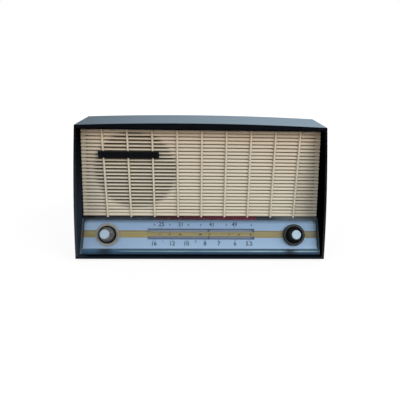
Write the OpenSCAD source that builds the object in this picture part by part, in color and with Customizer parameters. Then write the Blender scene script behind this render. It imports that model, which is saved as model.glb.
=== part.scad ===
// Two-band mains table radio: flared moulded cabinet, slatted loudspeaker grille,
// sloping dial with a cord-driven pointer, and the receiver chassis behind them.
// Working space: y = 0 at the top front edge, z = 0 under the cabinet, x = 0 on the centre line.

/* [Cabinet] */
// Width of the cabinet at its base
base_w = 400; // [392:1:410]
// Width of the cabinet along its top edge
top_w = 377; // [370:1:390]
// Height of the cabinet at its corners, without feet
cab_h = 213; // [212:1:222]
// Rise of the crowned top at the centre line
crown = 4; // [2:0.5:6]
// Depth of the top from front edge to rear edge
top_d = 101; // [99:1:112]
// How far the front edges of the sides bulge forward at mid height
front_bow = 7.3; // [4:0.1:9]
// How far the foot of the front edge stands ahead of its top
toe = 2.4; // [0:0.1:4]
// Wall thickness of the moulded shell
wall = 3.5; // [3:0.1:4.5]
// Width of the side rims at the front
side_rim = 5; // [4.5:0.1:6]
// Height of the rim over the grille at the corners
top_rim = 6; // [5:0.5:7]
// Thickness of the floor
floor_t = 4; // [3:0.5:5]
// Thickness of the ledge behind the grille
ledge_t = 3; // [2.5:0.5:4]
// Width of the ledge behind the grille
ledge_w = 9; // [6:1:12]

/* [Grille] */
// Lean of the grille: its foot lies further back than its top
grille_lean = 6; // [4:0.5:7]
// Depth of the grille's foot behind the top front edge
foot_y = 33.8; // [33:0.2:36]
// Height of the grille's foot
foot_z = 59.7; // [58.7:0.1:61]
// Number of slats
slat_n = 25; // [20:1:25]
// Height of one slat
slat_h = 4.1; // [3.6:0.1:4.4]
// Depth of one slat
slat_d = 4; // [3.5:0.1:5]
// Number of upright ribs
rib_n = 9; // [7:2:9]
// Pitch of the upright ribs
rib_pitch = 38; // [34:0.5:39]
// Width of an upright rib
rib_w = 2.8; // [2:0.1:4]
// How far the ribs stand in front of the slats
rib_proud = 3; // [1.5:0.1:4]
// Length of the plain bar across the ribs
bar_length = 93; // [60:1:100]
// Height of the plain bar
bar_h = 10.4; // [6:0.2:12]
// Thickness of the plain bar
bar_t = 3; // [2:0.5:4]

/* [Dial] */
// Slope of the dial from the vertical
dial_tilt = 22; // [20:0.5:25]
// Depth of the silver panel's lower edge
dial_y = 8; // [7:0.2:9]
// Height of the silver panel's lower edge
dial_z = 13.6; // [12.8:0.2:14.4]
// Height of the silver panel along the slope
panel_h = 46.8; // [45:0.2:47.4]
// Thickness of the silver panel
panel_t = 1; // [0.8:0.1:1.2]
// Gap between the silver panel and the side rims
panel_side = 4; // [3:0.5:6]
// Thickness of the clear cover
cover_t = 2; // [1.5:0.1:2.5]
// Thickness of the gold band
band_t = 0.3; // [0.2:0.05:0.4]
// Lower edge of the gold band on the panel
band_low = 17.8; // [17:0.2:19]
// Height of the gold band
band_h = 11.6; // [10:0.2:12]
// Height of the gold band where it crosses the window
band_slim = 7; // [5:0.2:8]
// Half width of the dial window
window_half = 87; // [80:1:92]
// Lower edge of the dial window
window_low = 14.8; // [14:0.2:16]
// Upper edge of the dial window
window_high = 32.6; // [31:0.2:33]
// Distance of the knob axes from the cabinet's sides
knob_inset = 47.4; // [46:0.1:49]
// Height of the knob axes on the panel
knob_v = 22.4; // [21:0.2:24]

/* [Knobs] */
// Radius of a control shaft
shaft_r = 3; // [2.8:0.1:3.2]
// Radial clearance of a running fit
run_fit = 0.06; // [0.02:0.01:0.09]
// Radius of the black skirt of the volume knob
skirt_r = 14.6; // [13:0.1:15]
// Radius of the knob body at its base
body_r = 11.6; // [10:0.1:12]
// Radius of the knob body at its nose
nose_r = 8.2; // [7.6:0.1:8.6]
// Radius of the silver cap
cap_r = 7.3; // [6.6:0.1:7.4]
// Distance of the cap's face from the panel
cap_w = 28; // [26:0.5:30]
// Radius of the dished ring behind the volume knob
ring_r = 18.4; // [17:0.1:19]
// Radius of the wave-change ring
wave_r = 17.6; // [16:0.1:18]
// Swing of the wave-change ring between its two positions
wave_swing = 30; // [20:1:34]
// Length of the wave-change lever
lever_l = 20; // [18:0.5:21]

/* [Dial drive] */
// Travel of the pointer from end to end
travel = 160; // [150:1:164]
// Place of the pointer at rest, from the centre line
pointer_x = 12.3; // [-20:0.1:40]
// Radius at which the cord runs on the tuning spindle
spindle_pitch_r = 4; // [3.9:0.1:4.2]
// Radius at which the cord runs on the small pulleys
pulley_pitch_r = 5.8; // [5.4:0.1:6]
// Diameter of the drive cord
cord_d = 0.8; // [0.6:0.1:1]
// Depth of the cord's plane behind the panel
cord_w = 16; // [15.5:0.1:17]
// Distance of the end pulley from the centre line
pulley_x = 102; // [100:1:106]
// Place of the drum axis from the centre line
drum_x = 62; // [58:1:66]
// Height of the drum axis along the slope
drum_v = 92; // [91:1:95]
// Radius of the guide rail of the pointer
rail_r = 1.5; // [1.2:0.1:1.6]

/* [Loudspeaker] */
// Gap between the loudspeaker's flange and the edges of its board
speaker_gap = 0.8; // [0.5:0.1:3]
// Place of the loudspeaker from the centre line
speaker_x = -104; // [-108:1:-98]
// Thickness of the baffle board
baffle_t = 6; // [5:0.5:6.5]
// Travel of the cone each way
cone_travel = 1; // [0.5:0.1:1.2]

/* [Chassis] */
// Height of the chassis deck above the cabinet's underside
deck_z = 36; // [35:0.5:38]
// Thickness of the chassis sheet
sheet_t = 1.5; // [1.2:0.1:1.6]
// Distance of the chassis' rear edge from the cabinet's rear edge
deck_setback = 4; // [3:0.5:5]
// Gap between the chassis and the cabinet's side walls
deck_gap = 12.5; // [12:0.1:13]
// Distance of the control plate behind the panel
plate_w = 22.5; // [22:0.1:23]
// Distance of the valves' line from the chassis' rear edge
valve_inset = 14; // [13:0.5:15]
// Radius of a valve's glass
valve_r = 10.5; // [10:0.1:11]

/* [Back and feet] */
// Depth of the back cover behind the cabinet's rear edge
back_d = 26; // [24:0.5:30]
// Wall thickness of the back cover
back_t = 2.5; // [2:0.1:3]
// Slope of the back cover's edges
back_slope = 9; // [6:0.5:12]
// Number of vent slots in a row
vent_n = 24; // [16:2:24]
// Width of a vent slot
vent_w = 4; // [3:0.2:4.6]
// Pitch of the vent slots
vent_pitch = 11; // [10:0.2:12]
// Height of a vent slot
vent_h = 34; // [24:1:36]
// Radius of an aerial or earth socket
socket_r = 2.1; // [2:0.05:2.3]
// Radius of the mains lead's inlet
inlet_r = 3.6; // [3:0.1:4]
// Radius of a rubber foot
foot_r = 8; // [7:0.5:9]
// Height of a rubber foot
foot_h = 4; // [3:0.5:5]

/* [Hidden] */

$fn = 64;
eps = 0.01;
clear = 0.3;
far = 1.5 * base_w / 2;
ahead = far / 5;

// Angles of the two sloping fronts
dial_s = sin(dial_tilt);
dial_c = cos(dial_tilt);
lean_s = sin(grille_lean);
lean_c = cos(grille_lean);

// Half width of the outside at a height, and the circle of the crowned top
function side_half(z) = base_w / 2 + (top_w - base_w) / 2 * z / cab_h;
crown_r = (pow(top_w / 2, 2) + crown * crown) / (2 * crown);
crown_z = cab_h + crown - crown_r;
seat_gap = 0.1;
knob_x = side_half(dial_z + knob_v * dial_c) - knob_inset;
deck_half = side_half(deck_z) - wall - deck_gap;
deck_back = top_d - deck_setback;
valve_y = deck_back - valve_inset;

// Circle of the bulging front edge, through the top and bottom front corners
edge_l = sqrt(cab_h * cab_h + toe * toe);
edge_r = edge_l * edge_l / (8 * front_bow) + front_bow / 2;
edge_y = -toe / 2 + (edge_r - front_bow) * cab_h / edge_l;
edge_z = cab_h / 2 - (edge_r - front_bow) * toe / edge_l;

// Depth and height of a point on the dial slope: v up the slope, w out of it
function on_slope(v, w) = [dial_y + v * dial_s - w * dial_c, dial_z + v * dial_c + w * dial_s];
// The same on the leaning grille
function on_lean(v, w) = [foot_y - v * lean_s - w * lean_c, foot_z + v * lean_c - w * lean_s];

// Overall reach to the front and back, from which the origin is centred
cap_at = on_slope(knob_v, cap_w);
front_reach = min(cap_at[0] - cap_r * dial_s, edge_y - edge_r);
back_reach = top_d + back_d;
mid_y = (front_reach + back_reach) / 2;

// Grille, ledge and loudspeaker board. The grille fills the opening up to the rim's rear edge.
grille_gap = 2.4;
grille_h = (cab_h - top_rim - foot_z) / lean_c - grille_gap;
slat_pitch = grille_h / slat_n;
function grille_half(v) = side_half(foot_z + v * lean_c) - side_rim - clear;
baffle_w = -slat_d - ledge_t - 0.6;
speaker_w = baffle_w - baffle_t;
baffle_low = 11.5;
cloth_low = ledge_w - 3;
baffle_high = grille_h - 2;
speaker_v = (baffle_low + baffle_high) / 2;
speaker_r = (baffle_high - baffle_low) / 2 - speaker_gap;
function baffle_half(v) = side_half(foot_z + v * lean_c) - wall - 6;
speaker_hole = speaker_r - 6;
flange_screw_r = speaker_r - 3.2;
basket_d = 34;
coil_r = 12.5;
magnet_r = 27;
magnet_d = 18;
surround_r = speaker_r - 10;

// Dial stack, all measured from the cover's inner face
dial_plate_t = 4;
pocket_d = panel_t + band_t;
function panel_half(v) = side_half(dial_z + v * dial_c) - side_rim - panel_side;
cover_low = -(dial_z - floor_t - 0.6) / dial_c;
riser_h = foot_z - on_slope(panel_h, 0)[1] - 0.3;
shaft_hole_r = shaft_r + 2.4;
tube_r = shaft_r + 3.5;
tube_bore = shaft_r + 1.5;
tube_hole_r = tube_r + run_fit;
scale_t = 1;
band_mid = band_low + band_h / 2;
scale_top = window_high + 1.6;
slot_top = scale_top + 3.2;

// Pointer, carriage and rail
blade_t = 0.8;
blade_w = -(pocket_d + dial_plate_t) / 2 - blade_t / 2;
rail_v = window_high + 9.6;
rail_w = -9;
carriage_l = 16;
run_v = knob_v + spindle_pitch_r;
run_w = -cord_w + cord_d;
drum_w = -cord_w - cord_d;

// Drive cord: wheels in the order in which the cord passes them.
// Each is [x, v, pitch radius, turn, w on arrival, w on leaving, full turns], turn 1 being
// anticlockwise.
drum_pitch_r = travel / PI;
upper_x = drum_x - drum_pitch_r - pulley_pitch_r;
upper_v = run_v + 3 * pulley_pitch_r;
wheels = [[-pulley_x, run_v + pulley_pitch_r, pulley_pitch_r, 1, run_w, run_w, 0],
    [knob_x, knob_v, spindle_pitch_r, -1, run_w, drum_w, 1],
    [drum_x, drum_v, drum_pitch_r, 1, drum_w, drum_w, 0],
    [upper_x, upper_v, pulley_pitch_r, -1, drum_w, drum_w, 0]];
function next_of(i) = (i + 1) % len(wheels);
function prev_of(i) = (i + len(wheels) - 1) % len(wheels);
// Heading of the straight run from wheel a to wheel b
function heading(a, b) = atan2(b[1] - a[1], b[0] - a[0])
    + asin((a[3] * a[2] - b[3] * b[2]) / norm([b[0] - a[0], b[1] - a[1]]));
function turned(a, from, to) = let (t = a[3] * (to - from)) t - 360 * floor(t / 360);
// Largest angle between two rings of the cord on a wheel of radius r
function arc_step(r) = r > 20 ? 8 : 20;
// Places along the cord: [x, v, w, heading]
cord_path = [for (i = [0:len(wheels) - 1])
    let (a = wheels[i], h0 = heading(wheels[prev_of(i)], a), h1 = heading(a, wheels[next_of(i)]),
        turn = turned(a, h0, h1) + 360 * a[6], n = max(2, ceil(turn / arc_step(a[2]))))
    for (k = [0:n])
        let (h = h0 + a[3] * turn * k / n, f = k / n)
        [a[0] + a[3] * a[2] * sin(h), a[1] - a[3] * a[2] * cos(h), a[4] + (a[5] - a[4]) * f, h]];

// Angle of the drum at rest before the vanes are fully in mesh
mesh_angle = (travel / 2 - pointer_x) / travel * 180;
capacitor_half = 20;
capacitor_back = plate_w + sheet_t + 36;
vane_r = 16.8;
vane_t = 0.8;
vane_pitch = 3;
vane_n = 4;
section_l = (vane_n + 1) * vane_pitch;

// Wave-change switch
slider_throw = 2 * lever_l * sin(wave_swing / 2);
pin_r = 1.5;
slider_w = -9.4;
slider_t = 4;

// Back cover and its fixings
rim_gap = 0.3;
boss_r = 4.5;
boss_z = [16, cab_h - 22];
boss_y = top_d - 10;
function boss_x(z) = side_half(z) - wall - boss_r + 0.8;
post_inset = 6;
post_y = [deck_back - 43, deck_back - 9];
chassis_post = [for (y = post_y, s = [-1, 1]) [s * (deck_half - post_inset), y]];
post_r = 4.5;
screw_r = 1.6;
foot_inset = 32;
foot_y_at = [22, top_d - 17];
foot_at = [for (y = foot_y_at, s = [-1, 1]) [s * (base_w / 2 - foot_inset), y]];
socket_x = base_w * 0.3;
socket_z = 62;
socket_gap = 19;
inlet_x = -base_w * 0.3;
inlet_z = 26;

// Places of the parts on the deck, as shares of its half width, and their sizes
signal_x = [0.59 * deck_half, 0.87 * deck_half, 0.11 * deck_half];
signal_h = 48;
can_x = [0.73 * deck_half, -0.045 * deck_half];
can_w = 22;
can_h = 48;
power_at = [[-0.2 * deck_half, 62], [-0.79 * deck_half, 54]];
smoother_x = -0.925 * deck_half;
smoother_y = valve_y - 12;
smoother_r = 11.5;
smoother_h = 52;
transformer_x = -0.45 * deck_half;
core_w = 38;
core_d = 20;
core_h = 30;
bobbin_w = 24;
bobbin_d = 30;
bobbin_h = 20;
lug_w = 52;
lug_t = 3;
dropper_x = -0.66 * deck_half;
dropper_r = 6;
dropper_h = 48;
coil_x = [0.33 * deck_half, 0.45 * deck_half];
coil_y = deck_back - 23;
coil_h = 26;
former_r = 4;
winding_r = 6.5;

module in_place() {
    translate([0, -mid_y, foot_h]) children();
}
module on_dial() {
    in_place() translate([0, dial_y, dial_z]) rotate([90 - dial_tilt, 0, 0]) children();
}
module on_grille() {
    in_place() translate([0, foot_y, foot_z]) rotate([90 + grille_lean, 0, 0]) children();
}
// Sweep a depth-and-height outline along x
module along_x(x0, x1) {
    translate([x0, 0, 0]) rotate([90, 0, 90]) linear_extrude(x1 - x0) children();
}
// Sweep a front outline along y
module along_y(y0, y1) {
    translate([0, y1, 0]) rotate([90, 0, 0]) linear_extrude(y1 - y0) children();
}
// Flared front outline with its crowned top, moved in by the given margins
module front_outline(side, bottom, top) {
    z1 = cab_h + crown + 2;
    intersection() {
        polygon([[-side_half(bottom) + side, bottom], [side_half(bottom) - side, bottom],
            [side_half(z1) - side, z1], [-side_half(z1) + side, z1]]);
        translate([0, crown_z]) circle(r = crown_r - top, $fn = 1440);
    }
}
module ring(r_out, r_in, w0, w1) {
    translate([0, 0, w0]) difference() {
        cylinder(r = r_out, h = w1 - w0);
        translate([0, 0, -1]) cylinder(r = r_in, h = w1 - w0 + 2);
    }
}
// Plate on the dial slope that follows the flare of the cabinet
module slope_plate(v0, v1, w0, w1, margin) {
    h0 = side_half(dial_z + v0 * dial_c) - margin;
    h1 = side_half(dial_z + v1 * dial_c) - margin;
    translate([0, 0, w0]) linear_extrude(w1 - w0)
        polygon([[-h0, v0], [h0, v0], [h1, v1], [-h1, v1]]);
}

// Side view of all that lies behind the front faces of the front frame
sky = grille_h + 30;
function frame_front() = let (low = on_slope((floor_t - 2 - dial_z) / dial_c, 0))
    [low, on_slope(panel_h, 0), [on_slope(panel_h, 0)[0], foot_z],
        [foot_y + slat_d / lean_c, foot_z], on_lean(sky, -slat_d)];
module behind_front() {
    polygon(concat(frame_front(), [[far, on_lean(sky, -slat_d)[1]], [far, frame_front()[0][1]]]));
}
// Side view of the space behind the front frame
module rear_air() {
    low = on_slope((floor_t - 2 - dial_z) / dial_c, -dial_plate_t);
    polygon([low, on_slope(panel_h + 1, -dial_plate_t), on_lean(0, -slat_d - ledge_t),
        on_lean(sky, -slat_d - ledge_t), [far, on_lean(sky, 0)[1]], [far, low[1]]]);
}

module cabinet() {
    color([0.07, 0.07, 0.09]) {
        in_place() difference() {
            union() {
                difference() {
                    intersection() {
                        along_y(-ahead, far) front_outline(0, 0, 0);
                        along_x(-far, far) intersection() {
                            translate([-ahead, -1]) square([ahead + top_d, cab_h + crown + 2]);
                            translate([edge_y, edge_z]) circle(r = edge_r, $fn = 720);
                        }
                    }
                    along_y(-ahead, far) polygon([
                        [-side_half(floor_t) + side_rim, floor_t],
                        [side_half(floor_t) - side_rim, floor_t],
                        [side_half(cab_h - top_rim) - side_rim, cab_h - top_rim],
                        [-side_half(cab_h - top_rim) + side_rim, cab_h - top_rim]]);
                    intersection() {
                        along_y(-ahead, far + 1) front_outline(wall, floor_t, wall);
                        along_x(-far, far) behind_front();
                    }
                }
                for (z = boss_z, s = [-1, 1])
                    translate([s * boss_x(z), boss_y, z]) rotate([90, 0, 0])
                        cylinder(r = boss_r, h = 26);
                for (p = chassis_post)
                    translate([p[0], p[1], floor_t - 1]) cylinder(r = post_r, h = deck_z - floor_t + 1);
            }
            for (z = boss_z, s = [-1, 1])
                translate([s * boss_x(z), boss_y + 1, z]) rotate([90, 0, 0])
                    cylinder(r = screw_r, h = 20);
            for (p = chassis_post)
                translate([p[0], p[1], deck_z - 16]) cylinder(r = screw_r, h = 17);
            for (p = foot_at)
                translate([p[0], p[1], -1]) cylinder(r = foot_r / 2 + run_fit, h = floor_t + 2);
        }
    }
}
// Inner moulding: dial plate, riser and the ledge behind the grille, seated on the rim's shoulder
module front_frame() {
    color([0.08, 0.08, 0.1]) in_place() difference() {
        intersection() {
            along_y(-ahead, far) front_outline(wall + seat_gap, floor_t, wall + seat_gap);
            along_x(-far, far) difference() {
                behind_front();
                rear_air();
            }
        }
        // Aperture in the ledge
        translate([0, foot_y, foot_z]) rotate([90 + grille_lean, 0, 0])
            translate([0, 0, -slat_d - ledge_t - 2]) linear_extrude(ledge_t + 4)
                polygon([[-grille_half(0) + ledge_w, ledge_w - 2],
                    [grille_half(0) - ledge_w, ledge_w - 2],
                    [grille_half(grille_h) - ledge_w, grille_h - ledge_w],
                    [-grille_half(grille_h) + ledge_w, grille_h - ledge_w]]);
        // Pocket, window and shaft holes of the dial plate
        translate([0, dial_y, dial_z]) rotate([90 - dial_tilt, 0, 0]) {
            slope_plate(0, panel_h, -pocket_d, 1, side_rim + panel_side);
            translate([-window_half - 5, window_low - 4, -dial_plate_t - 2])
                cube([2 * window_half + 10, slot_top - window_low + 4, dial_plate_t + 3]);
            translate([-knob_x, knob_v, -dial_plate_t - 2])
                cylinder(r = shaft_hole_r, h = dial_plate_t + 3);
            translate([knob_x, knob_v, -dial_plate_t - 2])
                cylinder(r = tube_hole_r, h = dial_plate_t + 3);
        }
    }
}

module slat_outline() {
    polygon([[0, -slat_d], [0, -1.4], [0.7, -0.2], [1.3, 0], [slat_h - 1.4, -0.2],
        [slat_h, -1.6], [slat_h, -slat_d]]);
}
module rib_outline() {
    polygon([[-rib_w / 2, -slat_d + 1], [rib_w / 2, -slat_d + 1], [rib_w / 2, rib_proud - 0.8],
        [rib_w / 2 - 0.7, rib_proud], [-rib_w / 2 + 0.7, rib_proud], [-rib_w / 2, rib_proud - 0.8]]);
}
module grille_face(inset) {
    polygon([[-grille_half(0) + inset, inset], [grille_half(0) - inset, inset],
        [grille_half(grille_h) - inset, grille_h - inset],
        [-grille_half(grille_h) + inset, grille_h - inset]]);
}
module grille() {
    color([0.85, 0.81, 0.70]) on_grille() {
        intersection() {
            union() {
                for (i = [0:slat_n - 1])
                    translate([-far, i * slat_pitch + (slat_pitch - slat_h) / 2, 0])
                        rotate([90, 0, 90]) linear_extrude(2 * far) slat_outline();
                for (i = [0:rib_n - 1])
                    translate([(i - (rib_n - 1) / 2) * rib_pitch, grille_h, 0])
                        rotate([90, 0, 0]) linear_extrude(grille_h - rib_proud * lean_s - 0.1) rib_outline();
                translate([0, 0, -slat_d]) linear_extrude(1.6) difference() {
                    grille_face(0);
                    grille_face(ledge_w - 3);
                }
            }
            translate([0, 0, -slat_d - 1]) linear_extrude(slat_d + rib_proud + 2) grille_face(0);
        }
    }
}
module plain_bar() {
    x0 = -4 * rib_pitch - 7;
    v0 = grille_h * 0.735 - bar_h / 2;
    color([0.06, 0.06, 0.07]) on_grille() translate([x0, v0, rib_proud]) {
        difference() {
            cube([bar_length, bar_h, bar_t]);
            translate([4, 2, bar_t - 0.8]) cube([bar_length - 8, bar_h - 4, 2]);
        }
    }
}
module speaker_cloth() {
    color([0.42, 0.38, 0.30]) on_grille() translate([0, 0, baffle_w]) linear_extrude(0.6)
        polygon([[-baffle_half(cloth_low), cloth_low], [baffle_half(cloth_low), cloth_low],
            [baffle_half(baffle_high), baffle_high], [-baffle_half(baffle_high), baffle_high]]);
}
module baffle_board() {
    color([0.45, 0.32, 0.2]) on_grille() difference() {
        translate([0, 0, speaker_w]) linear_extrude(baffle_t)
            polygon([[-baffle_half(baffle_low), baffle_low], [baffle_half(baffle_low), baffle_low],
                [baffle_half(baffle_high), baffle_high], [-baffle_half(baffle_high), baffle_high]]);
        translate([speaker_x, speaker_v, speaker_w - 1]) {
            cylinder(r = speaker_hole, h = baffle_t + 2, $fn = 96);
            for (a = [0:90:270])
                rotate([0, 0, a]) translate([flange_screw_r, 0, 0]) cylinder(r = screw_r, h = baffle_t);
        }
    }
}

// Loudspeaker, on its own axis: w = 0 at the flange's front face, the magnet behind
module on_speaker() {
    on_grille() translate([speaker_x, speaker_v, speaker_w]) children();
}
module speaker_basket() {
    color([0.55, 0.56, 0.58]) on_speaker() difference() {
        rotate_extrude($fn = 96)
            polygon([[surround_r - 2, 0], [speaker_r, 0], [speaker_r, -1.2], [surround_r + 2.8, -1.2],
                [surround_r + 1.5, -8], [magnet_r + 4, -basket_d], [coil_r + 2, -basket_d],
                [coil_r + 2, -basket_d + 1.2], [magnet_r + 3.2, -basket_d + 1.2],
                [surround_r, -7.6], [surround_r, -1.6], [surround_r - 2, -1.6]]);
        for (a = [0:90:270])
            rotate([0, 0, a + 45]) translate([magnet_r + 6, -11, -basket_d + 3])
                cube([40, 22, basket_d - 14]);
        for (a = [0:90:270])
            rotate([0, 0, a]) translate([flange_screw_r, 0, -3]) cylinder(r = screw_r, h = 5);
    }
}
module speaker_magnet() {
    color([0.30, 0.30, 0.32]) on_speaker() translate([0, 0, -basket_d]) rotate_extrude($fn = 96)
        polygon([[0, -magnet_d], [magnet_r, -magnet_d], [magnet_r, 0], [coil_r + 1, 0],
            [coil_r + 1, -magnet_d + 5], [coil_r - 1.6, -magnet_d + 5], [coil_r - 1.6, 0], [0, 0]]);
}
module speaker_surround() {
    color([0.16, 0.15, 0.14]) on_speaker() rotate_extrude($fn = 96)
        polygon([[surround_r - 5, -2.2], [surround_r - 3.8, -1.7], [surround_r - 2, -3],
            [surround_r, -1.6], [surround_r, -2.2], [surround_r - 2, -3.6], [surround_r - 3.8, -2.3],
            [surround_r - 5, -2.8]]);
}
cone_rim_r = surround_r - 5 - clear;
module speaker_cone() {
    color([0.12, 0.11, 0.10]) on_speaker() rotate_extrude($fn = 96)
        polygon([[cone_rim_r, -1.6], [cone_rim_r, -3.8],
            [coil_r, -basket_d + 8], [coil_r, -basket_d - 8], [coil_r - 0.6, -basket_d - 8],
            [coil_r - 0.6, -basket_d + 9], [cone_rim_r - 0.8, -2.6]]);
}
module dust_cap() {
    color([0.14, 0.13, 0.12]) on_speaker() rotate_extrude($fn = 96)
        polygon([[0, -basket_d + 12], [6, -basket_d + 11.4], [coil_r - 0.6, -basket_d + 9],
            [coil_r - 0.6, -basket_d + 8.2], [6, -basket_d + 10.6], [0, -basket_d + 11.2]]);
}

module screw(head_r, head_h, length) {
    difference() {
        cylinder(r = head_r, h = head_h);
        translate([-head_r, -0.5, head_h - 0.8]) cube([2 * head_r, 1, 2]);
    }
    translate([0, 0, -length]) cylinder(r = screw_r - 0.02, h = length + eps);
}
module speaker_screws() {
    color([0.60, 0.60, 0.62]) on_speaker()
        for (a = [0:90:270])
            rotate([0, 0, a]) translate([flange_screw_r, 0, -1.2]) rotate([180, 0, 0])
                screw(2.6, 1.6, baffle_t - 0.6);
}

// Dial stack
module cover_outline() {
    up = riser_h * dial_c;
    out = riser_h * dial_s;
    polygon([[cover_low, 0], [panel_h - 0.2, 0], [panel_h - 0.2 + up, out],
        [panel_h - 0.2 + up - cover_t * dial_s, out + cover_t * dial_c],
        [panel_h - cover_t * dial_s, cover_t], [cover_low + 0.8, cover_t], [cover_low, cover_t - 0.8]]);
}
module dial_cover() {
    color([0.75, 0.85, 0.88, 0.35]) on_dial() difference() {
        intersection() {
            translate([-far, 0, 0]) rotate([90, 0, 90]) linear_extrude(2 * far) cover_outline();
            slope_plate(-20, panel_h + 10, -1, 12, side_rim + clear);
        }
        translate([-knob_x, knob_v, -1]) cylinder(r = shaft_hole_r, h = cover_t + 2);
        translate([knob_x, knob_v, -1]) cylinder(r = tube_r + 0.7, h = cover_t + 2);
    }
}
module dial_panel() {
    color([0.70, 0.79, 0.84]) on_dial() difference() {
        slope_plate(0.15, panel_h - 0.15, -pocket_d, -band_t, side_rim + panel_side + 0.15);
        translate([-window_half, window_low, -pocket_d - 1])
            cube([2 * window_half, band_mid - band_slim / 2 - window_low, 4]);
        translate([-window_half, band_mid + band_slim / 2, -pocket_d - 1])
            cube([2 * window_half, window_high - band_mid - band_slim / 2, 4]);
        translate([-knob_x, knob_v, -pocket_d - 1]) cylinder(r = shaft_hole_r, h = 4);
        translate([knob_x, knob_v, -pocket_d - 1]) cylinder(r = tube_r + 0.7, h = 4);
    }
}
module gold_band() {
    color([0.68, 0.58, 0.33]) on_dial() difference() {
        slope_plate(band_low, band_low + band_h, -band_t, 0, side_rim + panel_side + 0.15);
        for (s = [-1, 1])
            translate([-window_half, band_mid + s * (band_slim + band_h) / 2 - band_h / 2, -1])
                cube([2 * window_half, band_h, 2]);
        translate([-knob_x, knob_v, -1]) cylinder(r = shaft_hole_r, h = 2);
        translate([knob_x, knob_v, -1]) cylinder(r = tube_r + 0.7, h = 2);
    }
}
module scale_plate() {
    color([0.62, 0.60, 0.64]) on_dial()
        translate([-window_half - 13, window_low - 8, -dial_plate_t - scale_t])
            cube([2 * window_half + 26, scale_top - window_low + 8, scale_t]);
}
module pointer_rail() {
    end = window_half + 9;
    color([0.75, 0.76, 0.78]) on_dial() {
        translate([-end, rail_v, rail_w]) rotate([0, 90, 0]) cylinder(r = rail_r, h = 2 * end);
        for (s = [-1, 1])
            translate([s * (end - 1) - 2, rail_v - 1.8, -plate_w]) cube([4, 5, plate_w + rail_w]);
    }
}
module pointer_carriage() {
    color([0.80, 0.78, 0.70]) on_dial() translate([pointer_x, 0, 0]) difference() {
        union() {
            translate([-carriage_l / 2, rail_v - 3.6, rail_w - 3.6]) cube([carriage_l, 7.2, 7.2]);
            translate([-3, run_v - 1.8, rail_w - 3.6]) cube([6, rail_v - run_v, 1.4]);
            translate([-3, run_v - 1.8, run_w - 1.6]) cube([6, 3.6, rail_w - run_w]);
        }
        translate([-far, rail_v, rail_w]) rotate([0, 90, 0]) cylinder(r = rail_r + run_fit, h = 2 * far);
        translate([-far, run_v, run_w]) rotate([0, 90, 0]) cylinder(r = cord_d / 2 + clear, h = 2 * far);
        translate([-4, run_v - 0.5, run_w - 3]) cube([8, 1, 3]);
    }
}
module pointer() {
    foot = rail_v - 3.6;
    color([0.07, 0.07, 0.08]) on_dial() translate([pointer_x, 0, 0]) {
        translate([-0.9, window_low - 1.6, blade_w]) cube([1.8, slot_top - 0.9 - window_low + 1.6, blade_t]);
        translate([-2, slot_top - 2.3, rail_w]) cube([4, 1.4, blade_w + blade_t - rail_w]);
        translate([-2, slot_top - 2.3, rail_w]) cube([4, foot - slot_top + 2.3, 1.6]);
    }
}
module drive_cord() {
    sides = 8;
    n = len(cord_path);
    points = [for (p = cord_path, k = [0:sides - 1])
        let (a = 360 * k / sides, r = cord_d / 2)
        [p[0] + r * cos(a) * sin(p[3]), p[1] - r * cos(a) * cos(p[3]), p[2] + r * sin(a)]];
    function at(i, k) = (i % n) * sides + k % sides;
    faces = [for (i = [0:n - 1], k = [0:sides - 1], half = [0, 1])
        half == 0 ? [at(i, k), at(i + 1, k), at(i + 1, k + 1)]
            : [at(i, k), at(i + 1, k + 1), at(i, k + 1)]];
    color([0.78, 0.72, 0.55]) on_dial() polyhedron(points, faces);
}
// Grooved wheel: floor of the groove just under the cord
module grooved_wheel(pitch_r, bore_r, thick, lip) {
    floor_r = pitch_r - cord_d / 2 - clear;
    half = thick / 2;
    rotate_extrude($fn = 96) polygon([[bore_r, -half], [pitch_r + lip, -half],
        [pitch_r + lip, -half + 0.7], [floor_r, -cord_d], [floor_r, cord_d],
        [pitch_r + lip, half - 0.7], [pitch_r + lip, half], [bore_r, half]]);
}
stud_r = 1.5;
pulley_t = 4.4;
module pulley(i) {
    color([0.86, 0.84, 0.78]) on_dial() translate([wheels[i][0], wheels[i][1], wheels[i][4]])
        grooved_wheel(pulley_pitch_r, stud_r + run_fit, pulley_t, 1.1);
}
module end_pulley() {
    pulley(0);
}
module upper_pulley() {
    pulley(3);
}
drum_t = 5;
module drive_drum() {
    color([0.72, 0.70, 0.64]) on_dial() translate([drum_x, drum_v, drum_w]) difference() {
        grooved_wheel(drum_pitch_r, shaft_r, drum_t, 2);
        for (side = [-1, 1])
            translate([0, 0, side * 3.5]) ring(drum_pitch_r - 5, 9, -2, 2);
        for (a = [0:60:300])
            rotate([0, 0, a - mesh_angle]) translate([28, 0, -drum_t]) cylinder(r = 9, h = 2 * drum_t);
    }
}
module rotor_shaft() {
    color([0.78, 0.78, 0.80]) on_dial() translate([drum_x, drum_v, -capacitor_back])
        cylinder(r = shaft_r, h = capacitor_back + drum_w + drum_t / 2 + 3);
}
module rotor_vanes() {
    color([0.82, 0.83, 0.85]) on_dial() translate([drum_x, drum_v, 0]) rotate([0, 0, -mesh_angle])
        for (gang = [0, 1])
            translate([0, 0, -plate_w - sheet_t - 4 - gang * (section_l + 1) - section_l]) {
                ring(shaft_r + 1.6, shaft_r, 1, section_l - 1);
                for (i = [1:vane_n])
                    translate([0, 0, i * vane_pitch - vane_t / 2])
                        linear_extrude(vane_t) difference() {
                            circle(r = vane_r, $fn = 96);
                            translate([0, -vane_r - 1]) square(2 * vane_r + 2);
                            circle(r = shaft_r + 1.5);
                        }
            }
}
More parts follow.
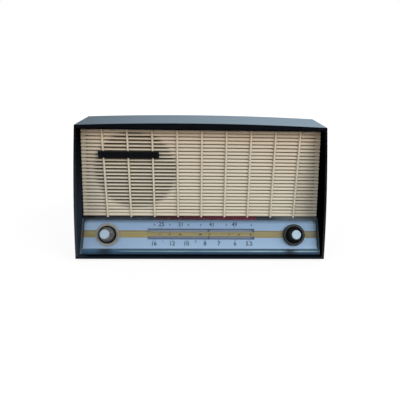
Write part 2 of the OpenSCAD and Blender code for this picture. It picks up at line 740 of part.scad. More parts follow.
module capacitor_frame() {
    h = capacitor_half;
    front = -plate_w - sheet_t;
    color([0.66, 0.67, 0.69]) on_dial() translate([drum_x, drum_v, 0]) difference() {
        union() {
            for (w = [front - 2, -capacitor_back])
                translate([-h, -h, w]) cube([2 * h, 2 * h, 2]);
            for (x = [-h, h - 3], v = [-h, h - 3])
                translate([x, v, -capacitor_back]) cube([3, 3, capacitor_back + front]);
        }
        translate([0, 0, -capacitor_back - 1]) cylinder(r = shaft_r + run_fit, h = capacitor_back);
    }
}
module stator_plates() {
    color([0.80, 0.81, 0.83]) on_dial() translate([drum_x, drum_v, 0]) {
        for (gang = [0, 1])
            translate([0, 0, -plate_w - sheet_t - 4 - gang * (section_l + 1) - section_l]) {
                for (i = [0:vane_n])
                    translate([0, 0, (i + 0.5) * vane_pitch - vane_t / 2])
                        linear_extrude(vane_t) difference() {
                            intersection() {
                                circle(r = capacitor_half - 0.8, $fn = 96);
                                translate([-capacitor_half, -capacitor_half])
                                    square([capacitor_half - 1, 2 * capacitor_half]);
                            }
                            circle(r = shaft_r + 3);
                        }
            }
        for (s = [-1, 1])
            translate([-capacitor_half * 0.72, s * capacitor_half * 0.56, 2 - capacitor_back])
                cylinder(r = 1.1, h = capacitor_back - plate_w - sheet_t - 4);
    }
}

// Volume control
module volume_ring() {
    color([0.70, 0.67, 0.60]) on_dial() translate([-knob_x, knob_v, cover_t]) rotate_extrude($fn = 96)
        polygon([[shaft_hole_r, 0], [ring_r, 0], [ring_r, 1.2], [ring_r - 0.8, 2.2], [ring_r - 1.6, 2],
            [skirt_r + 0.6, 0.8], [shaft_hole_r, 0.8]]);
}
pot_d = 12;
pot_r = 11;
module volume_control() {
    color([0.60, 0.58, 0.52]) on_dial() translate([-knob_x, knob_v, 0]) {
        ring(pot_r, shaft_r + 0.4, -plate_w - sheet_t - pot_d, -plate_w - sheet_t);
        ring(5, shaft_r + run_fit, -plate_w - sheet_t, -plate_w + 7);
        ring(8, 5 - eps, -plate_w, -plate_w + 2);
        translate([0, 0, -plate_w - sheet_t - pot_d - 8]) cylinder(r = pot_r - 2.5, h = 8);
        for (a = [-24, 0, 24])
            rotate([0, 0, a]) translate([pot_r - 2, -1.5, -plate_w - sheet_t - 6]) cube([9, 3, 0.8]);
    }
}
module volume_shaft() {
    back = -plate_w - sheet_t - pot_d + 2;
    color([0.78, 0.78, 0.80]) on_dial() translate([-knob_x, knob_v, back])
        cylinder(r = shaft_r, h = cap_w - 8 - back);
}
// Knob of revolution: skirt, tapered body, and a seat for the cap
module knob(skirt, skirt_w0, body_w0) {
    bore_top = cap_w - 8;
    rotate_extrude($fn = 96)
        polygon([[shaft_r, skirt_w0], [skirt - 0.8, skirt_w0], [skirt, skirt_w0 + 0.8],
            [skirt - 0.3, body_w0 - 0.8], [skirt - 1.1, body_w0], [body_r, body_w0], [nose_r, cap_w - 3],
            [nose_r, cap_w - 1.2], [nose_r - 0.4, cap_w - 0.8], [cap_r, cap_w - 0.8],
            [cap_r, cap_w - 2.4], [0, cap_w - 2.4], [0, bore_top], [shaft_r, bore_top]]);
}
module knob_cap() {
    rotate_extrude($fn = 96)
        polygon([[0, cap_w - 2.4], [cap_r, cap_w - 2.4], [cap_r, cap_w - 0.6], [cap_r - 0.5, cap_w - 0.1],
            [cap_r - 1.2, cap_w], [0, cap_w - 0.2]]);
}
volume_skirt_w = cover_t + 1.2;
module volume_knob() {
    color([0.30, 0.28, 0.26]) on_dial() translate([-knob_x, knob_v, 0])
        knob(skirt_r, volume_skirt_w, volume_skirt_w + 3);
}
module volume_cap() {
    color([0.85, 0.88, 0.90]) on_dial() translate([-knob_x, knob_v, 0]) knob_cap();
}

// Tuning control and the wave-change ring around it
wave_w0 = cover_t + 0.6;
wave_floor = wave_w0 + 2.4;
wave_rim = wave_floor + 3.6;
tuning_skirt_r = wave_r - 3.6;
module spindle_bush() {
    color([0.75, 0.62, 0.32]) on_dial() translate([knob_x, knob_v, 0]) {
        ring(5, shaft_r + run_fit, -plate_w - sheet_t - 1.6, -plate_w + 2.6);
        ring(7.5, 5 - eps, -plate_w, -plate_w + 1.6);
    }
}
module tuning_spindle() {
    back = -plate_w - sheet_t - 4;
    floor_r = spindle_pitch_r - cord_d / 2 - clear;
    color([0.78, 0.78, 0.80]) on_dial() translate([knob_x, knob_v, 0]) {
        translate([0, 0, back]) cylinder(r = shaft_r, h = cap_w - 8 - back);
        ring(floor_r, shaft_r - eps, drum_w - 1.6, run_w + 1.6);
        for (w = [drum_w - 2.4, run_w + 1.6])
            ring(spindle_pitch_r + 1, shaft_r - eps, w, w + 0.8);
        ring(4.4, shaft_r - eps, back + 1, back + 2);
    }
}
module tuning_knob() {
    color([0.10, 0.10, 0.10]) on_dial() translate([knob_x, knob_v, 0])
        knob(tuning_skirt_r, wave_floor + 0.5, wave_rim + 0.6);
}
module tuning_cap() {
    color([0.90, 0.92, 0.93]) on_dial() translate([knob_x, knob_v, 0]) knob_cap();
}
module wave_ring() {
    color([0.12, 0.12, 0.13]) on_dial() translate([knob_x, knob_v, 0]) rotate_extrude($fn = 96)
        polygon([[tube_bore, -dial_plate_t - 4.4], [tube_r, -dial_plate_t - 4.4], [tube_r, wave_w0],
            [wave_r - 0.6, wave_w0], [wave_r, wave_w0 + 0.6], [wave_r, wave_rim - 1.6],
            [wave_r - 1.4, wave_rim], [wave_r - 2, wave_rim], [wave_r - 2, wave_rim - 0.8],
            [wave_r - 3, wave_rim - 0.8], [wave_r - 3, wave_floor], [tube_bore, wave_floor]]);
}
module wave_ring_inlay() {
    color([0.85, 0.86, 0.87]) on_dial() translate([knob_x, knob_v, 0])
        ring(wave_r - 2, wave_r - 3, wave_rim - 0.8, wave_rim);
}
module at_lever() {
    on_dial() translate([knob_x, knob_v, 0]) rotate([0, 0, -wave_swing / 2]) children();
}
module wave_lever() {
    w1 = -dial_plate_t - 1;
    color([0.70, 0.71, 0.73]) at_lever() {
        difference() {
            union() {
                translate([0, 0, w1 - 3]) cylinder(r = tube_r + 3, h = 3);
                translate([0, -2.5, w1 - 3]) cube([lever_l, 5, 3]);
                translate([lever_l, 0, w1 - 3]) cylinder(r = 2.5, h = 3);
            }
            translate([0, 0, w1 - 4]) cylinder(r = tube_r, h = 5);
        }
        translate([lever_l, 0, slider_w - slider_t]) cylinder(r = pin_r, h = w1 - slider_w + slider_t - 1);
    }
}
slider_x = knob_x + lever_l * cos(wave_swing / 4);
slider_v = knob_v - slider_throw / 2;
switch_half = slider_throw / 2 + 9;
module wave_switch() {
    deep = plate_w + slider_w - slider_t - 0.1;
    color([0.55, 0.36, 0.18]) on_dial() translate([slider_x, knob_v, -plate_w]) {
        translate([-8, -switch_half, 0]) cube([16, 2 * switch_half, deep - 1]);
        for (s = [-1, 1])
            translate([s * 6.9 - 1.1, -switch_half, deep - 1 - eps]) cube([2.2, 2 * switch_half, 4]);
    }
}
module wave_slider() {
    color([0.88, 0.86, 0.80]) on_dial() translate([slider_x, slider_v, slider_w - slider_t]) difference() {
        translate([-5.5, -6, -0.8]) cube([11, 12, slider_t]);
        translate([-3.4, -pin_r - 0.08, -2]) cube([6.8, 2 * pin_r + 0.16, slider_t + 4]);
    }
}

// Chassis: deck, inclined control plate with the capacitor's tab, rear skirt
plate_low = (floor_t + 0.3 - dial_z + (plate_w + sheet_t) * dial_s) / dial_c;
plate_high = (deck_z - dial_z + (plate_w + sheet_t) * dial_s) / dial_c;
deck_front = on_slope(plate_high + sheet_t / dial_c, -plate_w)[0];
skirt_low = floor_t + rim_gap + back_t + 0.5;
module chassis() {
    color([0.62, 0.63, 0.62]) {
        in_place() difference() {
            union() {
                translate([-deck_half, deck_front, deck_z])
                    cube([2 * deck_half, deck_back - deck_front, sheet_t]);
                translate([-deck_half + 14, deck_back - sheet_t, skirt_low])
                    cube([2 * deck_half - 28, sheet_t, deck_z + sheet_t - skirt_low]);
            }
            for (x = signal_x)
                translate([x, valve_y, deck_z - 1]) cylinder(r = 9, h = 4);
            for (p = power_at)
                translate([p[0], valve_y, deck_z - 1]) cylinder(r = 9, h = 4);
            for (p = chassis_post)
                translate([p[0], p[1], deck_z - 1]) cylinder(r = screw_r + 0.3, h = 4);
        }
        on_dial() difference() {
            union() {
                translate([-deck_half, plate_low, -plate_w - sheet_t])
                    cube([2 * deck_half, plate_high - plate_low + sheet_t / dial_c, sheet_t]);
                translate([drum_x - 24, plate_high - 2, -plate_w - sheet_t])
                    cube([48, drum_v + 24 - plate_high, sheet_t]);
                for (i = [0, 3])
                    translate([wheels[i][0], wheels[i][1], -plate_w - eps]) {
                        cylinder(r = 3, h = plate_w + wheels[i][4] - pulley_t / 2 - clear);
                        cylinder(r = stud_r, h = plate_w + wheels[i][4] + pulley_t / 2 + 1.4);
                        translate([0, 0, plate_w + wheels[i][4] + pulley_t / 2 + clear])
                            cylinder(r = 2.6, h = 1);
                    }
                // Tab that carries the upper pulley
                translate([upper_x - 6, plate_high - 2, -plate_w - sheet_t])
                    cube([12, upper_v + 8 - plate_high, sheet_t]);
                // Ears that carry the rail's posts
                for (s = [-1, 1])
                    translate([s * (window_half + 8) - 5, plate_high - 2, -plate_w - sheet_t])
                        cube([10, rail_v + 6 - plate_high, sheet_t]);
            }
            translate([drum_x, drum_v, -plate_w - sheet_t - 1]) cylinder(r = 7, h = 4);
            translate([-knob_x, knob_v, -plate_w - sheet_t - 1]) cylinder(r = 5, h = 4);
            translate([knob_x, knob_v, -plate_w - sheet_t - 1]) cylinder(r = 5, h = 4);
        }
    }
}
module valve_sockets() {
    color([0.80, 0.78, 0.70]) in_place()
        for (x = concat(signal_x, [for (p = power_at) p[0]]))
            translate([x, valve_y, deck_z - 7]) {
                cylinder(r = 8.8, h = 7 + sheet_t);
                translate([0, 0, 7 + sheet_t]) cylinder(r = 11.5, h = 2);
            }
}
// Glass valve with its domed top and sealing tip
module valve(height) {
    rotate_extrude() polygon([[0, 0], [valve_r - 1, 0], [valve_r, 2], [valve_r, height - 9],
        [valve_r - 1.4, height - 5.5], [valve_r - 4.5, height - 3], [2.4, height - 2], [0.8, height],
        [0, height]]);
}
module signal_valves() {
    color([0.80, 0.85, 0.86, 0.4]) in_place()
        for (x = signal_x)
            translate([x, valve_y, deck_z + sheet_t + 2]) valve(signal_h);
}
module power_valves() {
    color([0.80, 0.85, 0.86, 0.4]) in_place()
        for (p = power_at)
            translate([p[0], valve_y, deck_z + sheet_t + 2]) valve(p[1]);
}
module if_cans() {
    color([0.80, 0.81, 0.83]) in_place()
        for (x = can_x)
            translate([x, valve_y, deck_z + sheet_t]) difference() {
                translate([-can_w / 2, -can_w / 2, 0]) cube([can_w, can_w, can_h]);
                translate([0, 0, can_h - 8]) cylinder(r = 3, h = 9);
            }
}
module output_transformer() {
    color([0.35, 0.33, 0.32]) in_place() translate([transformer_x, valve_y - 6, deck_z + sheet_t]) {
        translate([-core_w / 2, -core_d / 2, lug_t]) cube([core_w, core_d, core_h]);
        translate([-bobbin_w / 2, -bobbin_d / 2, lug_t + (core_h - bobbin_h) / 2])
            cube([bobbin_w, bobbin_d, bobbin_h]);
        translate([-lug_w / 2, -core_d / 2, 0]) cube([lug_w, core_d, lug_t]);
    }
}
module smoothing_capacitor() {
    color([0.78, 0.79, 0.80]) in_place() translate([smoother_x, smoother_y, deck_z + sheet_t]) {
        cylinder(r = smoother_r, h = smoother_h);
        cylinder(r = smoother_r + 0.7, h = 5);
    }
}
module mains_dropper() {
    color([0.62, 0.60, 0.52]) in_place() translate([dropper_x, valve_y, deck_z + sheet_t]) {
        ring(dropper_r, 2.6, 3, dropper_h);
        for (i = [0:3])
            ring(dropper_r + 1, dropper_r - eps, 4 + i * dropper_h / 4, 9 + i * dropper_h / 4);
        cylinder(r = 2.5, h = dropper_h + 4);
        cylinder(r = dropper_r - 1, h = 3);
    }
}
module band_coils() {
    color([0.60, 0.38, 0.22]) in_place()
        for (x = coil_x)
            translate([x, coil_y, deck_z - coil_h]) {
                cylinder(r = former_r, h = coil_h);
                translate([0, 0, coil_h * 0.2]) cylinder(r = winding_r, h = coil_h * 0.27);
                translate([0, 0, coil_h * 0.6]) cylinder(r = winding_r - 1, h = coil_h * 0.2);
            }
}
lamp_x = (window_half + knob_x) / 2;
lamp_v = 14.5;
module lamp_holders() {
    color([0.72, 0.62, 0.35]) on_dial()
        for (s = [-1, 1])
            translate([s * lamp_x, lamp_v, 0]) ring(5, 3.4, -plate_w, -plate_w + 8);
}
module dial_lamps() {
    color([0.95, 0.90, 0.70, 0.6]) on_dial()
        for (s = [-1, 1])
            translate([s * lamp_x, lamp_v, -plate_w]) rotate_extrude()
                polygon([[0, 0], [3.4, 0], [3.4, 8], [4.4, 9.5], [4.6, 12], [3.6, 14.5], [1.6, 16],
                    [0, 16.2]]);
}
rod_l = 150;
rod_x = 20;
rod_v = grille_h - 16;
rod_w = speaker_w - 16;
module ferrite_rod() {
    color([0.22, 0.22, 0.23]) on_grille() translate([rod_x, rod_v, rod_w]) rotate([0, 90, 0]) {
        cylinder(r = 4.5, h = rod_l);
        translate([0, 0, 14]) cylinder(r = 6, h = 26);
        translate([0, 0, rod_l - 34]) cylinder(r = 6, h = 16);
    }
}
module rod_brackets() {
    color([0.85, 0.83, 0.76]) on_grille()
        for (x = [rod_x + 6, rod_x + rod_l - 12])
            translate([x, rod_v, 0]) difference() {
                translate([0, -8, rod_w - 8]) cube([5, 16, speaker_w - rod_w + 8]);
                translate([-1, 0, rod_w]) rotate([0, 90, 0]) cylinder(r = 4.5, h = 7);
            }
}

// Back cover: a shallow tray with sloping edges that fits inside the shell's rear rim
lip_y = top_d - 7;
seat_y = top_d - 3;
module back_outer(t, front) {
    g = wall + rim_gap + t;
    low = floor_t + rim_gap + t;
    high = cab_h - wall - t;
    rear = back_reach - t;
    half = side_half(cab_h) - g - back_slope;
    intersection() {
        along_y(front, rear) front_outline(g, low, g);
        along_x(-far, far) polygon([[front - 1, low - 1], [top_d, low - 1], [rear, low + back_slope],
            [rear, high - back_slope], [top_d, high + crown + 1], [front - 1, high + crown + 1]]);
        linear_extrude(far) polygon([[-side_half(0), front - 1], [side_half(0), front - 1],
            [side_half(0) - g, top_d], [half, rear], [-half, rear], [-side_half(0) + g, top_d]]);
    }
}
module vent_row(z, h) {
    for (i = [0:vent_n - 1])
        translate([(i - (vent_n - 1) / 2) * vent_pitch - vent_w / 2, back_reach - 8, z])
            cube([vent_w, 12, h]);
}
module back_cover() {
    color([0.16, 0.13, 0.11]) in_place() difference() {
        union() {
            difference() {
                back_outer(0, lip_y);
                back_outer(back_t, lip_y - 1);
            }
            intersection() {
                back_outer(0, boss_y);
                for (z = boss_z, s = [-1, 1])
                    translate([s * boss_x(z), back_reach, z]) rotate([90, 0, 0])
                        cylinder(r = boss_r + 1.5, h = back_reach - boss_y + 1);
            }
        }
        vent_row(cab_h * 0.62, vent_h);
        vent_row(cab_h * 0.42, vent_h);
        vent_row(34, vent_h * 0.4);
        for (z = boss_z, s = [-1, 1])
            translate([s * boss_x(z), back_reach + 1, z]) rotate([90, 0, 0]) {
                cylinder(r = screw_r + 0.4, h = 60);
                cylinder(r = 4.2, h = back_reach + 1 - seat_y);
            }
        translate([socket_x - 19, back_reach - 8, socket_z - 7]) cube([38, 12, 14]);
        translate([inlet_x, back_reach + 1, inlet_z]) rotate([90, 0, 0]) cylinder(r = inlet_r + 2.4, h = 12);
    }
}
module back_screws() {
    color([0.60, 0.60, 0.62]) in_place()
        for (z = boss_z, s = [-1, 1])
            translate([s * boss_x(z), seat_y, z]) rotate([-90, 0, 0]) screw(3.4, 2, 22);
}
module chassis_screws() {
    color([0.60, 0.60, 0.62]) in_place()
        for (p = chassis_post)
            translate([p[0], p[1], deck_z + sheet_t]) screw(3.4, 2, 12);
}
module socket_strip() {
    color([0.50, 0.33, 0.18]) in_place()
        translate([socket_x, back_reach - back_t, socket_z]) rotate([90, 0, 0]) {
        difference() {
            union() {
                translate([-25, -10, 0]) cube([50, 20, 2]);
                for (s = [-1, 1])
                    translate([s * socket_gap / 2, 0, 2 - eps]) cylinder(r = 3.6, h = 12);
            }
            for (s = [-1, 1])
                translate([s * socket_gap / 2, 0, -1]) cylinder(r = socket_r, h = 20);
        }
    }
}
module lead_grommet() {
    color([0.10, 0.10, 0.10]) in_place() translate([inlet_x, back_reach, inlet_z]) rotate([90, 0, 0])
        rotate_extrude() polygon([[inlet_r, 0], [inlet_r + 2.4, 0], [inlet_r + 2.4, back_t],
            [inlet_r + 4, back_t], [inlet_r + 3.4, back_t + 2.5], [inlet_r, back_t + 2.5]]);
}
module feet() {
    color([0.12, 0.12, 0.12]) in_place()
        for (p = foot_at)
            translate([p[0], p[1], 0]) rotate_extrude()
                polygon([[0, -foot_h], [foot_r - 1, -foot_h], [foot_r, 0], [foot_r / 2, 0],
                    [foot_r / 2, floor_t + 1.5], [0, floor_t + 1.5]]);
}

cabinet();
front_frame();
grille();
plain_bar();
speaker_cloth();
baffle_board();
speaker_basket();
speaker_magnet();
speaker_surround();
speaker_cone();
dust_cap();
speaker_screws();
dial_cover();
dial_panel();
gold_band();
scale_plate();
pointer_rail();
pointer_carriage();
pointer();
drive_cord();
end_pulley();
upper_pulley();
drive_drum();
rotor_shaft();
rotor_vanes();
capacitor_frame();
stator_plates();
volume_ring();
volume_control();
volume_shaft();
volume_knob();
volume_cap();
spindle_bush();
tuning_spindle();
tuning_knob();
tuning_cap();
wave_ring();
wave_ring_inlay();
wave_lever();
wave_switch();
wave_slider();
chassis();
valve_sockets();
signal_valves();
power_valves();
if_cans();
output_transformer();
smoothing_capacitor();
mains_dropper();
band_coils();
dial_lamps();
lamp_holders();
ferrite_rod();
rod_brackets();
back_cover();
back_screws();
chassis_screws();
socket_strip();
lead_grommet();
feet();
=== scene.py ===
import math

import bmesh
import bpy
from mathutils import Matrix, Vector


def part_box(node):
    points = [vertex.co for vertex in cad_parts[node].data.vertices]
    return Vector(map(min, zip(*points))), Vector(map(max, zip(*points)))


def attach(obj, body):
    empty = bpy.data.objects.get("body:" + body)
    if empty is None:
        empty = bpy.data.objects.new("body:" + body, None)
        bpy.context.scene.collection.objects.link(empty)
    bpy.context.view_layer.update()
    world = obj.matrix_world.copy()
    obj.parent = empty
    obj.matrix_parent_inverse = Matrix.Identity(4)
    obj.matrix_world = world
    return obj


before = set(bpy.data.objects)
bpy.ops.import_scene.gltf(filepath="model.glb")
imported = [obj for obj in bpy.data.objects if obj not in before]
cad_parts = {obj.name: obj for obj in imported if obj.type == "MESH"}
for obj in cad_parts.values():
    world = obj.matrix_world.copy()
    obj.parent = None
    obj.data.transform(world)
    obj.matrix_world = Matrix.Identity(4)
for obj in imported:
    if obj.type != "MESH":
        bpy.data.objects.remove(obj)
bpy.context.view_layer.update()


# Studio. A wide pale floor in a white surround, a large soft lamp high on the right and a weaker one on
# the left. Gloss mirrors the surround and the floor but not the lamps, and finds them bright behind the
# set and dark low in front of it. The camera stands where the photograph was taken from.
class Value:
    """A node's output that takes part in sums: a + b adds a Math node."""

    def __init__(self, tree, socket):
        self.tree, self.socket = tree, socket

    def math(self, operation, *values):
        return self.tree.add("ShaderNodeMath", {"operation": operation}, dict(enumerate(values)))

    def __add__(self, other):
        return self.math("ADD", self, other)

    def __sub__(self, other):
        return self.math("SUBTRACT", self, other)

    def __rsub__(self, other):
        return self.math("SUBTRACT", other, self)

    def __mul__(self, other):
        return self.math("MULTIPLY", self, other)

    def __truediv__(self, other):
        return self.math("DIVIDE", self, other)

    def __rtruediv__(self, other):
        return self.math("DIVIDE", other, self)

    def __pow__(self, other):
        return self.math("POWER", self, other)

    def __gt__(self, other):
        return self.math("GREATER_THAN", self, other)

    def __lt__(self, other):
        return self.math("LESS_THAN", self, other)

    def __abs__(self):
        return self.math("ABSOLUTE", self)

    def most(self, other):
        return self.math("MAXIMUM", self, other)

    def waves(self, pitch):
        """A sine from -1 to 1 with its crests pitch apart."""
        return self.math("SINE", self * (2 * math.pi / pitch))

    __radd__ = __add__
    __rmul__ = __mul__


class Tree:
    """A node tree, in which add() makes every node from its type, its settings and its sockets."""

    def __init__(self, tree):
        self.tree = tree
        tree.nodes.clear()

    def add(self, kind, settings=None, sockets=None, out=0):
        """A new node's output. A socket takes a plain value, another output or a list of outputs."""
        node = self.tree.nodes.new(kind)
        for name, value in (settings or {}).items():
            setattr(node, name, value)
        for name, value in (sockets or {}).items():
            if isinstance(value, list) or isinstance(value, Value):
                for part in value if isinstance(value, list) else [value]:
                    self.tree.links.new(part.socket, node.inputs[name])
            else:
                node.inputs[name].default_value = value
        return Value(self, node.outputs[out]) if node.outputs else node

    def ray(self, kind):
        """1 where a ray of that kind arrives, and 0 where another does."""
        return self.add("ShaderNodeLightPath", out=f"Is {kind} Ray")

    def point(self, origin=(0, 0, 0), turn=(0, 0, 0)):
        """The place on a piece in axes of its own, in millimetres."""
        place = self.add("ShaderNodeTexCoord", out="Object")
        return self.add("ShaderNodeMapping", {"vector_type": "TEXTURE"},
                        {"Vector": place, "Location": origin, "Rotation": turn, "Scale": (0.001,) * 3})

    def axes(self, vector):
        """The three parts of a place, along X, Y and Z."""
        split = self.add("ShaderNodeSeparateXYZ", None, {0: vector})
        return [Value(self, socket) for socket in split.socket.node.outputs]

    def stretch(self, vector, amounts):
        """A place drawn out along the axes whose amount is under 1."""
        return self.add("ShaderNodeVectorMath", {"operation": "MULTIPLY"}, {0: vector, 1: amounts})

    def noise(self, vector, size, detail=3.0, roughness=0.5):
        """Cloudy noise with spots about size across."""
        return self.add("ShaderNodeTexNoise", None,
                        {"Vector": vector, "Scale": 1 / size, "Detail": detail, "Roughness": roughness})

    def between(self, value, low, high, to_low=0.0, to_high=1.0):
        """Value carried from low..high to to_low..to_high, and held there."""
        return self.add("ShaderNodeMapRange", {"clamp": True},
                        {0: value, 1: low, 2: high, 3: to_low, 4: to_high})

    def mix(self, share, first, second):
        """The first colour where the share is 0 and the second where it is 1."""
        return self.add("ShaderNodeMix", {"data_type": "RGBA"}, {0: share, 6: first, 7: second}, out=2)

    def bump(self, height, depth, strength=1.0):
        """A normal from a height of 0 to 1 that stands for depth millimetres."""
        return self.add("ShaderNodeBump", None,
                        {"Height": height, "Distance": depth / 1000, "Strength": strength})


def distance(first, second):
    """How far a place is from an axis, from its offsets in two directions."""
    return (first ** 2 + second ** 2) ** 0.5


scene = bpy.context.scene
scene.view_settings.view_transform = "Standard"

camera_data = bpy.data.cameras.new("camera")
camera_data.lens = 43.556
camera_data.sensor_width = 36
camera_data.shift_x = -0.0508
camera_data.shift_y = 0.0095
camera = bpy.data.objects.new("camera", camera_data)
scene.collection.objects.link(camera)
camera_place = (-0.00501, -0.77896, 0.32033)
camera_pan, camera_tilt, camera_roll = (math.radians(angle) for angle in (-2.73, 17.21, 1.13))
panned = Matrix.Rotation(camera_pan, 3, "Z")
ahead = panned @ Vector((0, math.cos(camera_tilt), -math.sin(camera_tilt)))
above = panned @ Vector((0, math.sin(camera_tilt), math.cos(camera_tilt)))
aside = panned @ Vector((1, 0, 0))
camera_x = aside * math.cos(camera_roll) + above * math.sin(camera_roll)
camera_y = above * math.cos(camera_roll) - aside * math.sin(camera_roll)
camera_turn = Matrix((camera_x, camera_y, -ahead)).transposed()
camera.matrix_world = Matrix.Translation(camera_place) @ camera_turn.to_4x4()
scene.camera = camera


def lamp(name, place, size, power):
    """A square area lamp, aimed at the middle of the set and hidden from gloss."""
    data = bpy.data.lights.new(name, "AREA")
    data.size = size
    data.energy = power
    light = bpy.data.objects.new(name, data)
    light.visible_glossy = False
    light.location = place
    light.rotation_mode = "QUATERNION"
    middle_of_set = Vector((0, 0, 0.1))
    light.rotation_quaternion = (middle_of_set - Vector(place)).to_track_quat("-Z", "Y")
    scene.collection.objects.link(light)


lamp("window_lamp", place=(1.2, -1.5, 1.0), size=1.2, power=23)
lamp("fill_lamp", place=(-1.2, -1.5, 0.75), size=1.2, power=9)

white = (1, 1, 1, 1)
mirrored_sky = (0.64, 0.83, 1, 1)
surround_light = 0.6
world = bpy.data.worlds.new("surround")
world.use_nodes = True
scene.world = world
surround = Tree(world.node_tree)
east, north, up = surround.axes(surround.add("ShaderNodeTexCoord", out="Generated"))
seen = surround.ray("Camera").most(surround.ray("Transmission"))
mirrored = surround.ray("Glossy")
behind = surround.between(north, -0.1, 0.2)
back_wall = (behind * surround.between(east, -0.25, 0.25, 0.76, 1.5)
             * surround.between(up, 0.0, 0.2, 0.05, 1.0))
front_wall = ((1 - behind) * surround.between(east, -0.2, 0.3, 0.86, 1.36)
              * surround.between(up, 0.15, 0.4, 0.02, 1))
level = seen + (1 - seen) * (mirrored * (back_wall + front_wall) + (1 - mirrored) * surround_light)
sky = surround.mix(mirrored * (1 - seen), white, mirrored_sky)
light = surround.add("ShaderNodeBackground", None, {"Color": sky, "Strength": level})
surround.add("ShaderNodeOutputWorld", None, {"Surface": light})

floor_half = 4
floor_corners = [(x * floor_half, y * floor_half, 0) for x, y in ((-1, -1), (1, -1), (1, 1), (-1, 1))]
floor_mesh = bpy.data.meshes.new("floor")
floor_mesh.from_pydata(floor_corners, [], [(0, 1, 2, 3)])
floor = bpy.data.objects.new("floor", floor_mesh)
scene.collection.objects.link(floor)
pale = bpy.data.materials.new("pale_floor")
pale.use_nodes = True
tree = Tree(pale.node_tree)
sideways, rearward, _ = tree.axes(tree.add("ShaderNodeTexCoord", out="Object"))
in_camera = tree.ray("Camera").most(tree.ray("Transmission"))
seen_glow = tree.between(distance(sideways, rearward), 0.35, 0.9, 0.89, 1.0)
mirrored_glow = tree.between(rearward, -0.35, 0.1, 0.01, 0.6)
glow = in_camera * seen_glow + tree.ray("Glossy") * mirrored_glow
lit = tree.add("ShaderNodeBsdfDiffuse", None, {"Color": (0.14, 0.14, 0.14, 1)})
shine = tree.add("ShaderNodeEmission", None, {"Color": white, "Strength": glow})
both = tree.add("ShaderNodeAddShader", None, {0: lit, 1: shine})
tree.add("ShaderNodeOutputMaterial", None, {"Surface": both})
floor_mesh.materials.append(pale)


# Cabinet. One deep moulding in near-black, faintly blue phenolic plastic, polished outside and dull inside
# the front recess, where it is also painted nearly black as painted shade. It has fine rubbing marks and a
# little dust. Its front lip is painted teal at the top, fading to near black at the foot, as a painted
# reflection, and its left wall is painted paler low down, as painted light.
class Finish(Tree):
    """A material on one glossy or rough shader. skin() takes that shader's sockets and joins it up."""

    def __init__(self, name):
        self.material = bpy.data.materials.new(name)
        self.material.use_nodes = True
        super().__init__(self.material.node_tree)

    def skin(self, **sockets):
        named = {name.replace("_", " ").title().replace("Ior", "IOR"): value
                 for name, value in sockets.items()}
        shader = self.add("ShaderNodeBsdfPrincipled", None, named)
        self.add("ShaderNodeOutputMaterial", None, {"Surface": shader})
        return self.material


def tone(red, green, blue):
    """A colour given as it looks on a screen, from 0 to 255, through the sRGB curve."""
    def linear(part):
        part /= 255
        return part / 12.92 if part <= 0.04045 else ((part + 0.055) / 1.055) ** 2.4
    return (linear(red), linear(green), linear(blue), 1.0)


def dress(material, *names):
    """Gives CAD nodes a material."""
    for name in names:
        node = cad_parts[name]
        if not node.material_slots:
            node.data.materials.append(None)
        for slot in node.material_slots:
            slot.material = material


black = (0, 0, 0, 1)
foot_half_width, narrowing, shell_wall = 200.2, 0.054, 3.4
recess_foot, recess_top = 8.5, 212.2
shell = Finish("moulded_shell")
place = shell.point()
across, rearward, upward = shell.axes(place)
half_width = foot_half_width - upward * narrowing
recessed = (abs(across) < half_width - shell_wall) * (upward < recess_top) * (upward > recess_foot)
lip = shell.between(upward, recess_foot + 1, recess_foot) * (rearward < -60)
# Painted light: the left wall of the recess is painted paler low down.
left_wall_light = shell.between(across, -180, -190) * shell.between(upward, 215, 80) * (rearward < -30)
cloud = shell.between(shell.noise(place, 30, 4), 0.35, 0.7)
rub = shell.between(shell.noise(shell.stretch(place, (0.05, 0.3, 1.2)), 1.1, 5, 0.7), 0.4, 0.8)
dust = shell.between(shell.noise(place, 0.7, 2), 0.62, 0.74)
# Painted reflection: the front lip fades from teal at its top to near black at the foot.
lip_reflection_colour = shell.mix(shell.between(upward, 4, 9), tone(4, 6, 9), tone(22, 38, 52))
shell_colour = shell.mix(cloud * 0.6 + dust * 0.4, tone(10, 11, 15), tone(17, 18, 23))
# Painted shade: inside the recess the colour goes nearly black.
shell_colour = shell.mix(recessed * 0.85, shell_colour, black)
shell_colour = shell.mix(left_wall_light * 0.8, shell_colour, tone(48, 57, 68))
shell_colour = shell.mix(lip, shell_colour, lip_reflection_colour)
dress(shell.skin(
    base_color=shell_colour,
    roughness=0.5 + rub * 0.12 + dust * 0.2,
    coat_weight=(1 - recessed) * (0.95 - dust * 0.35) * shell.between(upward, 5, 12),
    coat_roughness=0.1,
    normal=shell.bump(shell.noise(place, 14, 2), 0.12, 0.4),
    specular_ior_level=0.0), "cabinet")


# Front frame. The dial's backing plate, the riser above it and the ledge for the grille are one dull black
# moulding set into the shell. The ledge is painted grey-blue as a painted reflection, paler towards the
# right and darker at its left end, and a dark red line is painted along it over the scale.
line_left, line_right = -74, 90
backing = Finish("frame_moulding")
place = backing.point()
across, _, upward = backing.axes(place)
speckle = backing.noise(place, 0.8, 4)
ledge = backing.between(upward, 59.6, 60.2) * backing.between(upward, 66, 67, 1, 0)
painted = (ledge * backing.between(across, line_left - 4, line_left + 4)
           * backing.between(across, line_right - 1, line_right + 0.5, 1, 0))
